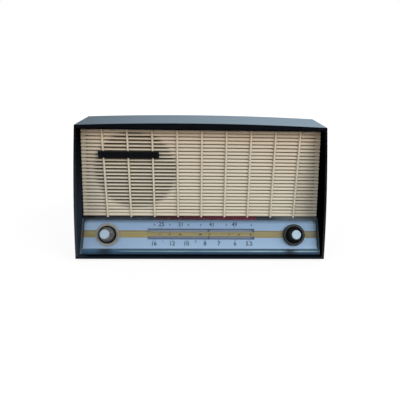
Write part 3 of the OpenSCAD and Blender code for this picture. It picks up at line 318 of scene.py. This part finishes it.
# Painted reflection: the ledge's grey-blue, paler towards the right and darker at its left end.
ledge_reflection = backing.mix(backing.between(across, 110, 140), tone(42, 48, 60), tone(96, 104, 112))
ledge_reflection = backing.mix(backing.between(across, -160, -182), ledge_reflection, tone(18, 26, 32))
red_line = backing.mix(backing.between(across, -60, 60), tone(58, 20, 30), tone(98, 32, 52))
colour = backing.mix(speckle * 0.5, tone(8, 9, 11), tone(17, 18, 21))
colour = backing.mix(ledge, colour, ledge_reflection)
dress(backing.skin(
    base_color=backing.mix(painted, colour, red_line), roughness=0.46 + speckle * 0.12,
    normal=backing.bump(speckle, 0.03, 0.5), specular_ior_level=0.2), "front_frame")


# Grille. One cream polystyrene moulding of level slats with upright ribs standing proud of them. It has
# yellowed in patches and towards the top. Painted light makes its top paler under the rim, and painted
# shade darkens it down between the slats, most of all over the loudspeaker hole.
feet_height, top_depth = 0.004, 0.101
grille_tilt, grille_set_back, ledge_height = 6, 0.0338, 0.0597
front_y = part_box("cabinet")[1].y - top_depth
grille_origin = (0, front_y + grille_set_back, feet_height + ledge_height)
grille_turn = (math.radians(90 + grille_tilt), 0, 0)
speaker_x, speaker_v, speaker_hole = -104, 78.5, 65

cream = Finish("grille_plastic")
place = cream.point(grille_origin, grille_turn)
across, upward, outward = cream.axes(place)
age = cream.noise(place, 60, 3) * 0.7 + cream.between(upward, 60, 150) * 0.45
from_axis = distance(across - speaker_x, upward - speaker_v)
speaker_disc = cream.between(from_axis, speaker_hole + 4, speaker_hole - 5)
# Painted shade, deepening down between the slats and strongest over the loudspeaker hole.
gap_shade = cream.between(outward, -0.6, -3.2) * 0.28
gap_shade = gap_shade.most(cream.between(outward, -0.15, -1.0) * speaker_disc * 0.82)
flecks = cream.between(cream.noise(place, 1.2, 3), 0.6, 0.72) * 0.22
cream_colour = cream.mix(cream.between(age, 0.3, 1.0), tone(224, 216, 197), tone(224, 205, 177))
# Painted light: the top is painted paler, where the rim's shadow falls.
cream_colour = cream.mix(cream.between(upward, 118, 146) * 0.7, cream_colour, tone(252, 226, 196))
cream_colour = cream.mix(gap_shade, cream_colour, tone(70, 58, 46))
cream_colour = cream.mix(flecks, cream_colour, tone(150, 136, 112))
dress(cream.skin(
    base_color=cream_colour,
    roughness=0.34 + cream.noise(place, 9, 3) * 0.16,
    normal=cream.bump(cream.noise(place, 2.2, 3), 0.03, 0.6)), "grille")


# Plain bar. A plate in black enamel with a polished raised border, held by pins through two ribs. Its
# sunk face is brushed along its length and bare.
border_level = 5.7
bar_black = Finish("black_enamel")
place = bar_black.point(grille_origin, grille_turn)
brush = bar_black.noise(bar_black.stretch(place, (0.06, 1, 1)), 0.5, 3)
_, _, outward = bar_black.axes(place)
border = outward > border_level
dress(bar_black.skin(
    base_color=bar_black.mix(border, tone(9, 10, 13), tone(44, 46, 50)),
    roughness=0.42 - border * 0.16 + brush * 0.1,
    metallic=border * 0.8,
    specular_ior_level=0.25,
    normal=bar_black.bump(brush, 0.02, 0.5)), "plain_bar")


# Loudspeaker cloth and board. Woven cotton glued flat to light brown fibreboard: it looks pale where the
# board backs it, and over the round hole in front of the cone it is painted nearly black, as painted
# shade.
thread_pitch = 0.9
cloth = Finish("cloth")
place = cloth.point(grille_origin, grille_turn)
across, upward, _ = cloth.axes(place)
from_axis = distance(across - speaker_x, upward - speaker_v)
over_hole = cloth.between(from_axis, speaker_hole - 4, speaker_hole + 2, 1, 0)
warp = across.waves(thread_pitch)
weft = upward.waves(thread_pitch)
weave = abs(warp * weft) * 0.5 + (warp + weft) * 0.15 + 0.3
fade = cloth.noise(place, 22, 3)
cloth_colour = cloth.mix(weave, tone(158, 148, 128), tone(214, 204, 184))
cloth_colour = cloth.mix(cloth.between(fade, 0.4, 0.7) * 0.35, cloth_colour, tone(142, 124, 98))
# Painted shade: the cloth over the hole is painted nearly black.
cloth_colour = cloth.mix(over_hole * 0.93, cloth_colour, tone(26, 23, 21))
dress(cloth.skin(base_color=cloth_colour, roughness=0.95, normal=cloth.bump(weave, 0.15, 0.8)),
      "speaker_cloth")

board = Finish("board")
place = board.point()
fibres = board.noise(board.stretch(place, (0.4, 1, 1)), 1.2, 5, 0.7)
dress(board.skin(
    base_color=board.mix(fibres, tone(122, 92, 62), tone(164, 132, 96)),
    roughness=0.85, normal=board.bump(fibres, 0.12, 0.7)), "baffle_board")


# Loudspeaker. A pressed steel basket and a ferrite magnet, held to the board by four slotted screws. The
# paper cone, its ringed cloth surround and the felt dust cap are all a dull brownish black.
def satin_metal(name, colour, paler, rough=0.3, grain=(1, 1, 1), tarnish=0.25):
    """Bare or plated metal with faint dull patches, its grain drawn out along the smallest number."""
    finish = Finish(name)
    place = finish.point()
    lines = finish.noise(finish.stretch(place, grain), 0.35, 4, 0.6)
    patches = finish.between(finish.noise(place, 12, 4), 0.45, 0.7)
    return finish.skin(
        base_color=finish.mix(lines * 0.6 + patches * tarnish, colour, paler),
        metallic=1.0, roughness=rough + patches * 0.18 + lines * 0.08,
        normal=finish.bump(lines, 0.01, 0.5))


dress(satin_metal("basket_steel", tone(150, 152, 156), tone(122, 124, 128), 0.36), "speaker_basket")

ferrite_tones = (tone(44, 44, 47), tone(72, 72, 76))
ferrite = Finish("ferrite")
pits = ferrite.noise(ferrite.point(), 1.4, 5, 0.7)
dress(ferrite.skin(
    base_color=ferrite.mix(pits, *ferrite_tones), roughness=0.62,
    normal=ferrite.bump(pits, 0.08, 0.6)), "speaker_magnet")

ridge_pitch = 5.5
paper = Finish("cone_paper")
place = paper.point(grille_origin, grille_turn)
across, upward, _ = paper.axes(place)
ridges = distance(across - speaker_x, upward - speaker_v).waves(ridge_pitch) * 0.5 + 0.5
pulp = paper.noise(place, 1.1, 5, 0.7)
dress(paper.skin(
    base_color=paper.mix(pulp, tone(36, 33, 31), tone(58, 53, 49)), roughness=0.9,
    normal=paper.bump(ridges * 0.8 + pulp * 0.2, 0.5, 0.7)),
      "speaker_cone", "dust_cap", "speaker_surround")

dress(satin_metal("screw_steel", tone(178, 179, 182), tone(136, 137, 140), 0.28, tarnish=0.5),
      "speaker_screws", "back_screws", "chassis_screws")


# Dial panel. Thin aluminium sheet in silver-blue metallic lacquer, paler towards the bottom and darker
# towards its lower left. Painted shadow darkens its upper edge and painted light makes its ends paler. A
# raised strip of gold foil crosses it behind both knobs, painted darker towards the right as painted
# shade, and two long slots show the printed scale behind.
dial_tilt, dial_set_back, dial_height = 22, 0.008, 0.0136
dial_origin = (0, front_y + dial_set_back, feet_height + dial_height)
dial_turn = (math.radians(90 - dial_tilt), 0, 0)
panel_height = 46.8
knob_x, knob_v = 150.744, 22.4

panel = Finish("silver_panel")
place = panel.point(dial_origin, dial_turn)
across, upward, _ = panel.axes(place)
flake = panel.noise(place, 0.25, 2)
sweep = panel.noise(panel.stretch(place, (0.02, 0.5, 1)), 1.0, 4)
# Painted light: the ends of the panel are painted paler.
painted_end_light = panel.between(abs(across), 158, 188) * panel.between(upward, 6, 30) * 0.8
low_left = panel.between(across, -60, -140) * panel.between(upward, 24, 4) * 0.45
# Painted shadow along the upper edge, deepest at the left.
painted_top_shadow = panel.between(upward, 40.2, 45.6) * panel.between(across, -20, -100, 0.84, 0.96)
panel_colour = panel.mix(
    panel.between(upward, 0, panel_height), tone(198, 212, 230), tone(156, 172, 196))
panel_colour = panel.mix(painted_end_light, panel_colour, tone(206, 224, 242))
panel_colour = panel.mix(low_left, panel_colour, tone(166, 182, 204))
panel_colour = panel.mix(painted_top_shadow, panel_colour, tone(42, 48, 62))
panel_colour = panel.mix(sweep * 0.25, panel_colour, tone(164, 186, 202))
dress(panel.skin(
    base_color=panel_colour, metallic=0.35, roughness=0.36 + flake * 0.12,
    normal=panel.bump(flake, 0.006, 0.6)), "dial_panel")

gold = Finish("gold_foil")
place = gold.point(dial_origin, dial_turn)
across, upward, _ = gold.axes(place)
streak = gold.noise(gold.stretch(place, (0.02, 1.4, 1)), 0.8, 4, 0.65)
rim_line = gold.between(abs(upward - knob_v), 4.6, 5.4)
gold_colour = gold.mix(streak, tone(176, 146, 76), tone(200, 172, 104))
gold_colour = gold.mix(rim_line * 0.6, gold_colour, tone(126, 100, 52))
# Painted shade: the foil is painted darker towards the right.
gold_colour = gold.mix(gold.between(across, 70, 130) * 0.5, gold_colour, tone(150, 124, 68))
dress(gold.skin(
    base_color=gold_colour, metallic=0.35, roughness=0.44 - streak * 0.1,
    normal=gold.bump(streak, 0.01, 0.5)), "gold_band")


# Scale. A plate in a faintly mauve grey behind the slots, darker at its right end, with a toothed blue
# rule printed along each long edge. The figures and ticks are printed on the silver panel above and below
# the slots, and small brown marks on the gold band, all under the clear cover.
plate = Finish("scale_print")
place = plate.point(dial_origin, dial_turn)
across, _, _ = plate.axes(place)
speckle = plate.noise(place, 0.5, 2)
plate_colour = plate.mix(speckle, tone(116, 114, 118), tone(142, 140, 144))
plate_colour = plate.mix(plate.between(across, 78, 86) * 0.8, plate_colour, tone(48, 50, 62))
dress(plate.skin(base_color=plate_colour, roughness=0.5, normal=plate.bump(speckle, 0.01, 0.4)),
      "scale_plate")

print_thickness = 0.06
plate_level, panel_level, band_level = -3.96, -0.22, 0.04
dial_place = (Matrix.Translation(dial_origin) @ Matrix.Rotation(dial_turn[0], 4, "X")
              @ Matrix.Scale(0.001, 4))


def ink(name, colour, wear=0.25):
    """Printing ink with slightly broken edges."""
    finish = Finish(name)
    worn = finish.between(finish.noise(finish.point(), 0.35, 3), 0.55, 0.8)
    return finish.skin(
        base_color=finish.mix(worn * wear, colour, tone(140, 156, 170)), roughness=0.45)


def keep(name, mesh):
    """Makes a fixed piece from a mesh, attached to the radio's body."""
    piece = bpy.data.objects.new(name, mesh)
    scene.collection.objects.link(piece)
    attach(piece, "radio")


def plain_mesh(thing):
    """The mesh that an object makes, once its curve or modifier is worked out. The object goes."""
    graph = bpy.context.evaluated_depsgraph_get()
    mesh = bpy.data.meshes.new_from_object(thing.evaluated_get(graph), depsgraph=graph)
    bpy.data.objects.remove(thing)
    return mesh


def grown(name, material, inputs, build, places=()):
    """A mesh made by a Geometry Nodes tree with named inputs, from the points given as places."""
    group = bpy.data.node_groups.new(name, "GeometryNodeTree")
    tree = Tree(group)
    group.interface.new_socket("Geometry", in_out="OUTPUT", socket_type="NodeSocketGeometry")
    group.interface.new_socket("Places", in_out="INPUT", socket_type="NodeSocketGeometry")
    for label, size in inputs.items():
        kind = "NodeSocketInt" if isinstance(size, int) else "NodeSocketFloat"
        group.interface.new_socket(label, in_out="INPUT", socket_type=kind)
    entry = group.nodes.new("NodeGroupInput")
    sizes = {label: Value(tree, entry.outputs[label]) for label in ["Places", *inputs]}
    real = tree.add("GeometryNodeRealizeInstances", None, {0: build(tree, sizes)})
    painted = tree.add("GeometryNodeSetMaterial", None, {0: real, "Material": material})
    tree.add("NodeGroupOutput", None, {0: painted})
    points = bpy.data.meshes.new(name)
    points.from_pydata(list(places), [], [])
    source = bpy.data.objects.new(name + "_source", points)
    scene.collection.objects.link(source)
    modifier = source.modifiers.new(name, "NODES")
    modifier.node_group = group
    for item in group.interface.items_tree:
        if item.name in inputs:
            modifier[item.identifier] = inputs[item.name]
    return plain_mesh(source)


def teeth(tree, size):
    """A row of thin upright marks along X, centred, in millimetres."""
    start = tree.add("ShaderNodeCombineXYZ", None, {
        0: size["Pitch"] * (size["Number"] - 1) / -2, 1: size["Height on panel"], 2: size["Level"]})
    line = tree.add("GeometryNodeMeshLine", None, {
        "Count": size["Number"], "Start Location": start,
        "Offset": tree.add("ShaderNodeCombineXYZ", None, {0: size["Pitch"]})})
    mark = tree.add("GeometryNodeMeshCube", None, {"Size": tree.add("ShaderNodeCombineXYZ", None, {
        0: size["Width"], 1: size["Length"], 2: size["Thickness"]})})
    return tree.add("GeometryNodeInstanceOnPoints", None, {"Points": line, "Instance": mark})


blue_ink = ink("rule_ink", tone(40, 58, 118))
black_ink = ink("figure_ink", tone(7, 10, 18), 0.1)
for name, rule_v in (("upper_rule", 31.4), ("lower_rule", 16.0)):
    rule = grown(name, blue_ink, {
        "Number": 101, "Pitch": 1.7, "Width": 1.1, "Length": 2.2, "Thickness": print_thickness,
        "Height on panel": rule_v, "Level": plate_level}, teeth)
    rule.transform(dial_place)
    keep(name, rule)


def keep_print(name, whole, material):
    """Makes a printed piece from a bmesh in millimetres on the dial's own axes."""
    mesh = bpy.data.meshes.new(name)
    whole.to_mesh(mesh)
    whole.free()
    mesh.transform(dial_place)
    mesh.materials.append(material)
    keep(name, mesh)


def figures(name, rows, level, material):
    """Flat figures printed at a level: each row gives (text, across, upward, height)."""
    height_of_size_one = 0.72
    whole = bmesh.new()
    for text, x, v, tall in rows:
        curve = bpy.data.curves.new(name, "FONT")
        curve.body = text
        curve.size = tall / height_of_size_one
        curve.align_x = "CENTER"
        curve.offset = curve.size * 0.02
        curve.extrude = print_thickness / 2
        piece = bpy.data.objects.new(name, curve)
        scene.collection.objects.link(piece)
        mesh = plain_mesh(piece)
        mesh.transform(Matrix.Translation((x, v, level)))
        whole.from_mesh(mesh)
    keep_print(name, whole, material)


def marks(name, rows, level, material):
    """Flat oblong marks printed at a level: each row gives (across, upward, width, height)."""
    whole = bmesh.new()
    for x, v, wide, tall in rows:
        size = Matrix.Diagonal((wide, tall, print_thickness, 1))
        bmesh.ops.create_cube(whole, size=1.0, matrix=Matrix.Translation((x, v, level)) @ size)
    keep_print(name, whole, material)


short_wave = {"25": -64.5, "31": -33.2, "41": 17.5, "49": 54.2}
medium_wave = {"16": -76.5, "12": -47.0, "10": -24.2, "8": 6.2, "7": 28.8, "6": 55.2, "5.5": 78.4}
upper_v, upper_tall = 36.6, 6.4
lower_v, lower_tall = 5.2, 6.8
rows = [(text, x, upper_v, upper_tall) for text, x in short_wave.items()]
# The first figure is a little larger than the rest of its row
rows[0] = ("25", short_wave["25"], 36.4, 7.2)
rows += [(text, x, lower_v, lower_tall) for text, x in medium_wave.items()]
figures("scale_figures", rows, panel_level, black_ink)

# Blocks among the upper figures, a tick at each figure, and two odd marks over the lower row
upper_blocks = (-76.0, -51.0, -20.9, -1.0, 41.0, 82.0)
ticks = [(x, 38.6, 1.7, 2.6) for x in upper_blocks]
ticks += [(x, 13.4, 0.9, 2.0) for x in medium_wave.values()]
ticks += [(x, 35.0, 0.9, 1.6) for x in short_wave.values()]
ticks += [(-62.0, 12.2, 1.2, 1.6), (-8.6, 11.6, 1.4, 3.6)]
marks("scale_ticks", ticks, panel_level, black_ink)

# Places and widths of the marks on the gold band
on_band = ((-66.7, 1.8), (-51.1, 2.6), (-34.0, 3.4), (-1.3, 4.4),
           (13.4, 2.2), (46.0, 1.8), (61.6, 2.4), (80.4, 2.6))
on_band_v, on_band_tall = 22.9, 2.2
brown_ink = ink("mark_ink", tone(46, 24, 12), 0.2)
marks("band_marks", [(x, on_band_v, wide, on_band_tall) for x, wide in on_band], band_level, brown_ink)


# Clear cover. One polished acrylic moulding over the whole dial, turned up in a narrow strip at its top.
# It is clear in the middle and painted dark teal behind its lower edge and ends. A painted highlight runs
# along the lower edge and each end, the left end is painted paler as painted light, the gold band is
# painted where it shows through the ends as a painted reflection, and a painted dark reflection of each
# knob lies below it.
def mirror_share(finish, least, most):
    """The share of light that a clear face mirrors, which grows as it is seen edge on."""
    facing = finish.add("ShaderNodeLayerWeight", None, {"Blend": 0.5}, out="Facing")
    return least + facing ** 4.0 * most


def see_through(finish, tint, share, rough, colour, metallic=1.0):
    """A clear sheet or glass, hidden by its own glossy face to that share."""
    through = finish.add("ShaderNodeBsdfTransparent", None, {"Color": tint})
    gloss = finish.add("ShaderNodeBsdfPrincipled", None, {
        "Base Color": colour, "Metallic": metallic, "Roughness": rough})
    surface = finish.add("ShaderNodeMixShader", None, {0: share, 1: through, 2: gloss})
    finish.add("ShaderNodeOutputMaterial", None, {"Surface": surface})
    return finish.material


cover_half_width, cover_narrowing, cover_foot = 199.25, 0.05, -9
lower_highlight_v, end_highlight_inset, band_seen_v = -4.3, 6.4, 23.6
dark_x, dark_shift = 150, -5
clear_gloss = (0.9, 0.95, 1, 1)
cover = Finish("clear_cover")
place = cover.point(dial_origin, dial_turn)
across, upward, _ = cover.axes(place)
inset = cover_half_width - upward * cover_narrowing - abs(across)
patchy = cover.noise(cover.stretch(place, (0.03, 0.3, 0.3)), 1.0, 3)
below = cover.between(upward, 0.4, -0.6)
ends = cover.between(inset, 9.0, 8.2)
edging = below.most(ends)
# Painted reflection: a dark image of each knob below it.
knob_reflection = cover.between(abs(abs(across - dark_shift) - dark_x), 16, 3) * 0.85
# Painted highlight along the lower edge, fading at the left and broken below the knobs.
lower_edge_highlight = cover.between(abs(upward - lower_highlight_v), 1.3, 0.5)
lower_edge_highlight = lower_edge_highlight * cover.between(patchy, 0.42, 0.62, 0.6, 1.0)
lower_edge_highlight = lower_edge_highlight * cover.between(across, -138, -108) * cover.between(across, 20, 100, 0.62, 1.0)
lower_edge_highlight = lower_edge_highlight * (1 - knob_reflection)
# Painted highlight along each end of the cover.
end_highlight = (cover.between(abs(inset - end_highlight_inset), 0.9, 0.3)
            * cover.between(upward, panel_height, cover_foot, 0.25, 0.8))
# Painted light: the left end of the cover is painted paler.
left_end_light = ends * cover.between(across, 0, -10)
# Painted reflection: the gold band where it shows through the ends.
band_image = ends * cover.between(abs(upward - band_seen_v), 6.2, 5.2)
teal = cover.mix(cover.between(upward, -3.0, -9.4), tone(54, 88, 114), tone(12, 42, 64))
teal = cover.mix(knob_reflection, teal, tone(10, 18, 26))
teal = cover.mix(left_end_light * 0.8, teal, tone(82, 96, 106))
teal = cover.mix(band_image * 0.6, teal, tone(120, 92, 48))
teal = cover.mix(end_highlight * ends, teal, tone(120, 134, 144))
teal = cover.mix(lower_edge_highlight, teal, tone(168, 194, 208))
dress(see_through(
    cover, (0.93, 0.96, 0.98, 1), mirror_share(cover, 0.04, 0.7).most(below * 0.9).most(ends * 0.72),
    rough=0.03 + edging * 0.2, colour=cover.mix(edging, clear_gloss, teal),
    metallic=1 - edging), "dial_cover")


# Pointer and its drive. A black needle on a nylon carriage that slides along a bright steel rail, pulled
# by a waxed thread from the tuning spindle over two nylon wheels and the drum of the tuning capacitor.
dress(satin_metal("bright_steel", tone(206, 207, 210), tone(176, 178, 182), 0.2, (0.08, 1, 1)),
      "pointer_rail", "volume_shaft", "tuning_spindle", "rotor_shaft")

nylon = Finish("cream_nylon")
mottle = nylon.noise(nylon.point(), 5, 4)
dress(nylon.skin(
    base_color=nylon.mix(mottle, tone(214, 206, 182), tone(228, 222, 204)), roughness=0.42,
    subsurface_weight=0.05, normal=nylon.bump(mottle, 0.03, 0.5)),
      "pointer_carriage", "end_pulley", "upper_pulley", "wave_slider", "rod_brackets")

needle = Finish("pointer_black")
grain = needle.noise(needle.point(), 0.8, 3)
dress(needle.skin(
    base_color=needle.mix(grain, tone(4, 4, 5), tone(14, 14, 16)), roughness=0.35 + grain * 0.1,
    normal=needle.bump(grain, 0.01, 0.4)), "pointer")

twist_pitch = 0.7
thread = Finish("cord_thread")
across, upward, _ = thread.axes(thread.point(dial_origin, dial_turn))
twist = (across + upward).waves(twist_pitch) * 0.5 + 0.5
dress(thread.skin(
    base_color=thread.mix(twist, tone(170, 156, 118), tone(206, 192, 152)), roughness=0.8,
    normal=thread.bump(twist, 0.1, 0.7)), "drive_cord")

dress(satin_metal("drum_alloy", tone(190, 186, 172), tone(160, 156, 142), 0.4), "drive_drum")
dress(satin_metal("vane_alloy", tone(208, 210, 214), tone(184, 186, 190), 0.26, (1, 0.1, 1)),
      "rotor_vanes", "stator_plates")
dress(satin_metal("frame_steel", tone(172, 174, 178), tone(142, 144, 148), 0.34, tarnish=0.4),
      "capacitor_frame", "wave_lever")


# Knobs. Turned and moulded round, each with a spun silver cap pressed into its nose. The volume knob is
# silver grey with a black skirt, in front of a dished metal ring. The tuning knob is black and stands
# inside the black waveband ring, which has a dull metal inlay.
def turned(name, middle, colour, paler, metallic, rough, pitch):
    """A round piece finished on a lathe, with fine rings about its own axis. Gives its finish, the radius
    and the colour on it, and the other sockets of its skin."""
    finish = Finish(name)
    place = finish.point(dial_origin, dial_turn)
    across, upward, _ = finish.axes(place)
    radius = distance(across - middle, upward - knob_v)
    rings = radius.waves(pitch) * 0.5 + 0.5
    dull = finish.noise(place, 5, 3)
    mixed = finish.mix(rings * 0.3 + dull * 0.4, colour, paler)
    return finish, radius, mixed, {
        "metallic": metallic, "roughness": rough + dull * 0.12, "normal": finish.bump(rings, 0.01, 0.6)}


skirt_radius = 11.7
for name, middle, colour, paler, metallic, rough, silver in (
        ("volume", -knob_x, tone(150, 142, 134), tone(178, 170, 160), 0.85, 0.28,
         (tone(194, 210, 221), tone(178, 195, 206))),
        ("tuning", knob_x, tone(12, 12, 12), tone(24, 23, 20), 0.0, 0.22,
         (tone(204, 220, 227), tone(188, 204, 211)))):
    finish, radius, mixed, sockets = turned(
        name + "_knob", middle, colour, paler, metallic, rough, pitch=1.2)
    skirt = radius > skirt_radius
    if metallic:
        sockets["metallic"] = (1 - skirt) * metallic
        # Painted sheen: the volume knob's body is painted paler towards its rim.
        mixed = finish.mix(finish.between(radius, 9.2, 11.3), mixed, tone(190, 186, 180))
    dress(finish.skin(
        base_color=finish.mix(skirt, mixed, tone(5, 5, 6)), specular_ior_level=0.12, **sockets),
          name + "_knob")
    finish, _, mixed, sockets = turned(
        name + "_cap_silver", middle, *silver, metallic=0.6, rough=0.33, pitch=0.35)
    dress(finish.skin(base_color=mixed, **sockets), name + "_cap")

for name, node, middle, colour, paler, metallic, rough, pitch in (
        ("ring_metal", "volume_ring", -knob_x, tone(190, 186, 178), tone(164, 160, 152), 0.35, 0.32, 0.6),
        ("knob_black", "wave_ring", knob_x, tone(9, 9, 10), tone(22, 22, 24), 0.0, 0.22, 0.9),
        ("inlay_metal", "wave_ring_inlay", knob_x, tone(120, 116, 106), tone(92, 90, 84), 0.7, 0.4, 0.6)):
    finish, _, mixed, sockets = turned(name, middle, colour, paler, metallic, rough, pitch)
    dress(finish.skin(base_color=mixed, **sockets), node)

dress(satin_metal("brass_bush", tone(190, 160, 92), tone(160, 132, 72), 0.3, (0.08, 1, 1)),
      "spindle_bush", "lamp_holders")


# Controls and chassis. A zinc-plated steel deck, with a sloping plate at its front for the controls. The
# valves' ceramic sockets, the bright cans and the wire-wound dropper are riveted or screwed to the deck.
# The wave switch on the plate and the sockets on the back cover are in brown paxolin.
def plain(name, colour, paler, rough, size, depth, metallic=0.0, layers=0.0, axis=2):
    """A cast, moulded or pressed part in mottled colour with a little relief. Where layers is given, it is
    wound or stacked along an axis with that pitch."""
    finish = Finish(name)
    place = finish.point()
    mottle = finish.noise(place, size, 5, 0.6)
    relief = mottle
    if layers:
        relief = finish.axes(place)[axis].waves(layers) * 0.4 + mottle * 0.2 + 0.4
    return finish.skin(
        base_color=finish.mix(finish.between(relief, 0.3, 0.7), colour, paler),
        roughness=rough + mottle * 0.1, metallic=metallic, normal=finish.bump(relief, depth, 0.6))


dress(plain("brown_paxolin", tone(112, 70, 36), tone(146, 98, 54), rough=0.42, size=1.6, depth=0.03),
      "wave_switch", "socket_strip")
dress(plain("pot_case", tone(150, 146, 132), tone(176, 172, 158), rough=0.3, size=3, depth=0.02,
            metallic=0.9), "volume_control")
dress(satin_metal("chassis_steel", tone(176, 178, 176), tone(150, 152, 150), 0.38, (0.1, 1, 1), 0.5),
      "chassis")
dress(plain("socket_ceramic", tone(206, 200, 184), tone(222, 218, 206), rough=0.4, size=2.5, depth=0.03),
      "valve_sockets")
dress(satin_metal("can_alloy", tone(206, 208, 212), tone(182, 184, 188), 0.3, (1, 1, 0.1)),
      "if_cans", "smoothing_capacitor")
dress(plain("dropper_wire", tone(150, 146, 128), tone(178, 172, 150), rough=0.8, size=1.4, depth=0.25,
            layers=1.1), "mains_dropper")


# Coils and transformer. Enamelled copper wire wound on formers, cotton-covered wire wound on the ferrite
# rod, and a core stacked from thin blued steel sheets round a bobbin.
dress(plain("coil_copper", tone(150, 84, 46), tone(190, 122, 74), rough=0.35, size=0.6, depth=0.2,
            metallic=0.8, layers=0.5), "band_coils")
dress(plain("core_sheets", tone(48, 48, 52), tone(84, 84, 90), rough=0.46, size=1.0, depth=0.2,
            metallic=0.6, layers=0.7, axis=1), "output_transformer")

bare_radius, wound_radius, turn_pitch = 4.5, 6, 0.6
low, high = (corner * 1000 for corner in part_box("ferrite_rod"))
rod = Finish("wound_rod")
place = rod.point()
along, rearward, upward = rod.axes(place)
from_middle = distance(rearward - (low.y + high.y) / 2, upward - (low.z + high.z) / 2)
winding = rod.between(from_middle, bare_radius + 0.3, wound_radius - 0.8)
turns = along.waves(turn_pitch) * 0.5 + 0.5
pits = rod.noise(place, 1.4, 5, 0.7)
bare = rod.mix(pits, *ferrite_tones)
dress(rod.skin(
    base_color=rod.mix(winding, bare, rod.mix(turns, tone(140, 112, 72), tone(206, 184, 138))),
    roughness=0.6, normal=rod.bump(turns * winding + pits * 0.2, 0.15, 0.7)), "ferrite_rod")


# Valves. Blown glass in ceramic sockets. In each stands a blackened nickel anode between two mica discs,
# on four support wires, with a getter plate above.
def glass(name, tint, least, most):
    """Clear glass, a little smeared."""
    finish = Finish(name)
    smear = finish.noise(finish.point(), 18, 3)
    return see_through(
        finish, tint, mirror_share(finish, least, most), rough=0.03 + smear * 0.05, colour=clear_gloss)


def corners(points):
    """The lowest and highest corners of a box round some points."""
    return [Vector(pick(point[axis] for point in points) for axis in range(3)) for pick in (min, max)]


def solids(name):
    """The lowest and highest corners of each separate solid of a CAD node, in metres."""
    whole = bmesh.new()
    whole.from_mesh(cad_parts[name].data)
    bmesh.ops.remove_doubles(whole, verts=whole.verts, dist=1e-6)
    left, boxes = set(whole.verts), []
    while left:
        front, solid = [left.pop()], []
        while front:
            solid.append(front.pop())
            joined = {edge.other_vert(solid[-1]) for edge in solid[-1].link_edges} & left
            left -= joined
            front += joined
        boxes.append(corners([vert.co for vert in solid]))
    whole.free()
    return boxes


def electrodes(tree, size):
    """The inside of one valve, from its radius and height: every level is a share of its height."""
    def drum(radius, low, high, sides=24):
        middle = tree.add("ShaderNodeCombineXYZ", None, {2: size["Height"] * ((low + high) / 2)})
        made = tree.add("GeometryNodeMeshCylinder", None, {
            "Vertices": sides, "Radius": radius, "Depth": size["Height"] * (high - low)})
        return tree.add("GeometryNodeTransform", None, {"Geometry": made, "Translation": middle})

    radius = size["Radius"]
    anode = drum(radius * 0.5, 0.2, 0.62)
    lower_mica = drum(radius * 0.84, 0.14, 0.155)
    upper_mica = drum(radius * 0.84, 0.66, 0.675)
    getter_plate = drum(radius * 0.4, 0.78, 0.79)
    ring = tree.add("GeometryNodeMeshCircle", None, {"Vertices": 4, "Radius": radius * 0.62})
    wires = tree.add("GeometryNodeInstanceOnPoints", None, {
        "Points": ring, "Instance": drum(size["Wire"], 0.06, 0.72, sides=8)})
    whole = tree.add("GeometryNodeJoinGeometry", None, {
        0: [anode, lower_mica, upper_mica, getter_plate, wires]})
    return tree.add("GeometryNodeInstanceOnPoints", None, {"Points": size["Places"], "Instance": whole})


glass_wall, support_wire = 0.001, 0.0004
dress(glass("valve_glass", (0.92, 0.96, 0.96, 1), 0.05, 0.8), "signal_valves", "power_valves")
anode_nickel = satin_metal("anode_nickel", tone(70, 70, 72), tone(104, 103, 102), 0.45, (1, 1, 0.2))
for kind in ("signal_valves", "power_valves"):
    for number, (low, high) in enumerate(sorted(solids(kind), key=lambda box: box[0].x)):
        name = f"{kind[:-1]}_electrodes_{number + 1}"
        sizes = {"Radius": (high.x - low.x) / 2 - glass_wall, "Height": high.z - low.z,
                 "Wire": support_wire}
        foot = ((low.x + high.x) / 2, (low.y + high.y) / 2, low.z)
        keep(name, grown(name, anode_nickel, sizes, electrodes, [foot]))


# Dial lamps. Two small bulbs of faintly yellow glass in brass holders, one beyond each end of the scale,
# which they light from its ends.
dress(glass("lamp_glass", (1, 0.96, 0.82, 1), 0.06, 0.6), "dial_lamps")


# Back cover. A tray in dark brown pressed fibreboard with rows of slots, held to the shell by screws. The
# set's feet and the grommet at the lead's inlet are black rubber.
dress(plain("back_board", tone(52, 42, 35), tone(74, 60, 50), rough=0.72, size=0.9, depth=0.12),
      "back_cover")
dress(plain("black_rubber", tone(26, 26, 27), tone(40, 40, 41), rough=0.7, size=0.8, depth=0.05),
      "feet", "lead_grommet")
